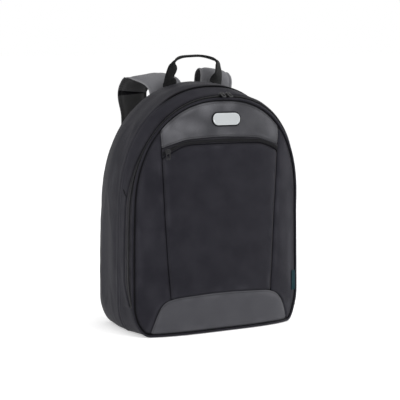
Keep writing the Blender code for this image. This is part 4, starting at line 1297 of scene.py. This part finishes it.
def build_plate():
    x, z = PLATE_PLACE
    point = on_front(x, z)
    across = on_front(x + 20, z) - on_front(x - 20, z)
    up = on_front(x, z + 8) - on_front(x, z - 8)
    out = across.cross(up).normalized()
    width, height = PLATE_SIZE

    def layer(name, growths, wall, material, rise, bevel, *finish):
        """A layer from outlines that are this much wider than the plate."""
        outlines = [rounded(width + more, height + more, height / 2 - 0.5 + more / 2)
                    for more in growths]
        made = plate(name, outlines, wall, material, point + out * (AIR + rise), across, up, bevel)
        finished(made, *finish)

    layer("plate_metal", [0], PLATE_WALL - 0.4, PLATE_METAL, PLATE_WALL / 2 - 0.2, 0.4,
          "satin_metal", "name_plate")
    layer("plate_border", [0, -3.2], 0.9, PLATE_METAL, PLATE_WALL - 0.35, 0.3, "satin_metal")
    layer("plate_recess", [2 * AIR + 2 * RIM_WIDTH, 2 * AIR], RIM_WALL, TRIM_AND_SHADE, RIM_WALL / 2, 0.3,
          "black_trim", "plate_rim")


def build_slider(number, names, point, along, out):
    """Zip slider with its bridge, and the pull tab that hangs from it."""
    out = out.normalized()
    along = along.normalized()
    side = out.cross(along)
    seat, height, wall = COIL_RISE + AIR, 2.8, 1.4

    def metal(part, outline, wall, rise, bevel, *nodes):
        made = plate(f"slider_{number}_{part}", [outline], wall, GUNMETAL,
                     point + out * (seat + rise), along, side, bevel)
        finished(made, "gunmetal", *nodes)

    metal("layer_0", rounded(9.4, 7.4, 2.4), 1.0, 0.5, 0.3, names[0])
    metal("layer_1", rounded(9.4, 7.4, 2.4), 1.0, height - 0.5, 0.3)
    metal("neck", rounded(4.6, 4.0, 1.0), height - 1.2, height / 2, 0.2)
    down = (out * out.z - Vector((0, 0, 1))).normalized()
    eye = rounded(3.2, 3.0, 1.4, 6, (0, PULL_LENGTH / 2 - 3.2))
    grip = rounded(3.6, PULL_LENGTH - 10.5, 1.2, 6, (0, -2.2))
    place = point + out * (seat + height + AIR + wall / 2) + down * (PULL_LENGTH / 2 - 3)
    tab = plate(f"slider_{number}_pull", [rounded(7.4, PULL_LENGTH, 2.9), eye, grip], wall,
                GUNMETAL, place, out.cross(down), -down, 0.35)
    finished(tab, "gunmetal", names[1])
    bridge = [point + out * (seat + height + 1.9 * math.sin(turn)) + along * (2.6 * math.cos(turn))
              for turn in np.linspace(0, math.pi, 12)]
    finished(tube(f"slider_{number}_bridge", bridge, 0.6, GUNMETAL, False, 8), "gunmetal")


def build_sliders():
    for number, v in ((1, -0.008), (2, 0.011)):
        point = ring_point("zip_middle", v)
        along = ring_point("zip_middle", v + 0.01) - ring_point("zip_middle", v - 0.01)
        across = ring_point("zip_rear", v) - ring_point("front_seam", v)
        build_slider(number, (f"zip_slider_{number}", f"zip_pull_{number}"), point, along,
                     along.cross(across))
    x = 9 - seam_half(300)
    z = mix(height_at(POCKET_EDGE, x), height_at(YOKE_EDGE, x), COIL_PLACE)
    along = on_front(x + 4, z) - on_front(x - 4, z)
    up = on_front(x, z + 4) - on_front(x, z - 4)
    build_slider(3, ("pocket_slider", "pocket_pull"), on_front(x, z), along, along.cross(up))


def build_lower_straps():
    for side_name, side in SIDES.items():
        end, before = STRAPS[side_name][-1], STRAPS[side_name][-2]
        down = (Vector(end[:3]) - Vector(before[:3])).normalized()
        across = (Vector((1, 0, 0)) - down * down.x).normalized()
        back = across.cross(down).normalized()
        back = back if back.y > 0 else -back
        centre = Vector(end[:3]) + down * (ADJUSTER_HEIGHT / 2 + AIR)
        slot = (ADJUSTER_HEIGHT - 3 * ADJUSTER_BAR) / 2
        slots = [rounded(ADJUSTER_WIDTH - 2 * ADJUSTER_BAR, slot, 1, 4,
                         (0, up * (slot + ADJUSTER_BAR) / 2)) for up in (-1, 1)]
        ladder = plate(f"ladder_{side_name}", [rounded(ADJUSTER_WIDTH, ADJUSTER_HEIGHT, 3)] + slots,
                       ADJUSTER_WALL, PLASTIC, centre, across, -down, 0.6)
        finished(ladder, "black_plastic", f"adjuster_{side_name}")
        build_anchor(side_name, side)
        build_webbing(side_name, side, centre, down, across, back, slot)


def build_anchor(side_name, side):
    rows = []
    for up in even(14):
        half = mix(ANCHOR_FOOT, ANCHOR_TOP, up) / 2
        z = ANCHOR_Z + ANCHOR_HEIGHT * (up - 0.5)
        rows.append([on_back(side * ANCHOR_X + half * t, z, AIR + ANCHOR_WALL)
                     for t in np.linspace(-1, 1, 22)])
    patch = Patch(rows)
    patch.sew(61, 0.15, depth=0.5, width=1.6)
    patch.finish(f"anchor_cloth_{side_name}", WEBBING, "black_webbing", f"anchor_{side_name}",
                 wall=ANCHOR_WALL - 0.2, left=2.5, right=2.5, bottom=2.5, top=2.5)


def build_webbing(side_name, side, centre, down, across, back, slot):
    step = (slot + ADJUSTER_BAR) / 2
    clear = ADJUSTER_WALL / 2 + WEBBING_WALL / 2 + 2 * AIR
    seat = AIR + ANCHOR_WALL + 5 * AIR + WEBBING_WALL / 2
    start = on_back(side * ANCHOR_X, ANCHOR_Z - 6, seat)
    leave = on_back(side * ANCHOR_X, ANCHOR_Z + 12, seat)
    flat = on_back(side * ANCHOR_X + 12, ANCHOR_Z) - on_back(side * ANCHOR_X - 12, ANCHOR_Z)
    through = [centre + down * below + back * behind for below, behind in (
        (24, -clear), (15, -clear), (step, -clear), (0, -clear), (-step, -0.7 * clear),
        (-step - 0.8, 0), (-step, 0.7 * clear), (0, clear), (step, clear), (24, clear + 1))]
    line = [start, leave, leave.lerp(through[0], 0.5) + Vector((0, 3, 0)), *through,
            centre + Vector((0, 6, -TAIL_LENGTH)) + back * clear]
    count = len(line)
    web, _, _ = ribbon(f"webbing_strap_{side_name}", line, [WEBBING_WIDTH] * count,
                       [WEBBING_WALL] * count, [flat.normalized()] * 3 + [across] * (count - 3),
                       160, WEBBING, flat_profile)
    finished(web, "black_webbing", f"webbing_{side_name}")


def build_label():
    wide, high = LABEL_SIZE
    xs = np.linspace(LABEL_EDGE - wide, LABEL_EDGE, 10)
    patch = Patch([[on_front(x, z, AIR + LABEL_WALL) for x in xs]
                   for z in np.linspace(LABEL_Z - high / 2, LABEL_Z + high / 2, 30)], seams="")
    patch.billow(0.2, 12, 71)
    patch.finish("label_ribbon", RIBBON, "teal_ribbon", "label_tab", wall=LABEL_WALL)


def build_stitches():
    finished(bars("topstitching", STITCHES, (STITCH_LENGTH, 2 * THREAD_R, THREAD_R * 1.6), THREAD),
             "black_webbing")


# Studio

SKY = 0.7          # light of the sky, which looks white to the camera all the same
FLOOR_HALF = 40.0  # in metres
CAMERA_PLACE, CAMERA_LENS = (-0.9732, -1.9879, 0.4812), 117
CAMERA_DIP, CAMERA_TURN = math.atan(158 / 1300), math.radians(-26)


def area_light(name, place, target, size, power):
    data = bpy.data.lights.new(name, "AREA")
    data.shape = "RECTANGLE"
    data.size, data.size_y = size
    data.energy = power
    light = link(name, data)
    light.location = place
    light.rotation_euler = (Vector(target) - Vector(place)).to_track_quat("-Z", "Y").to_euler()


def build_studio():
    floor_mesh = bpy.data.meshes.new("floor")
    corners = [(FLOOR_HALF * x, FLOOR_HALF * y, 0) for x, y in ((-1, -1), (1, -1), (1, 1), (-1, 1))]
    floor_mesh.from_pydata(corners, [], [(0, 1, 2, 3)])
    material, _, _ = new_material("floor_paper", Base_Color=(0.95, 0.95, 0.95), Roughness=0.9,
                                  Emission_Color=(1.0, 1.0, 1.0), Emission_Strength=0.35,
                                  Specular_IOR_Level=0.0)
    floor = add("floor", floor_mesh, material)
    floor.location.z = -0.0003

    world = bpy.data.worlds.new("studio")
    bpy.context.scene.world = world
    world.use_nodes = True
    seen = node(world.node_tree, "LightPath", "Is Camera Ray")
    fill(world.node_tree.nodes["Background"],
         {"Color": (1.0, 1.0, 1.0), "Strength": seen * (1 - SKY) + SKY})

    area_light("key", (0.6, -2.2, 2.6), (0, 0, 0.15), (1.6, 1.6), 30)
    area_light("left", (-2.6, -0.6, 1.3), (0, 0, 0.2), (1.2, 1.8), 22)
    area_light("right", (2.5, -0.2, 1.1), (0, 0, 0.2), (1.0, 1.6), 34)

    scene = bpy.context.scene
    scene.view_settings.view_transform = "Standard"
    scene.view_settings.look = "None"


def build_camera():
    data = bpy.data.cameras.new("camera")
    data.lens = CAMERA_LENS
    data.sensor_width = 36
    camera = link("camera", data)
    camera.location = CAMERA_PLACE
    camera.rotation_euler = (math.pi / 2 - CAMERA_DIP, 0, CAMERA_TURN)
    bpy.context.scene.camera = camera


def main():
    build_camera()
    build_studio()
    build_gussets()
    build_base()
    build_lining()
    build_main_zip()
    build_yoke()
    build_pocket()
    for side_name, side in SIDES.items():
        build_side_panel(side_name, side)
    build_kick_panel()
    build_flange_shade()
    build_piping()
    build_back_panel()
    build_handle()
    build_straps()
    build_plate()
    build_sliders()
    build_lower_straps()
    build_label()
    build_stitches()


main()
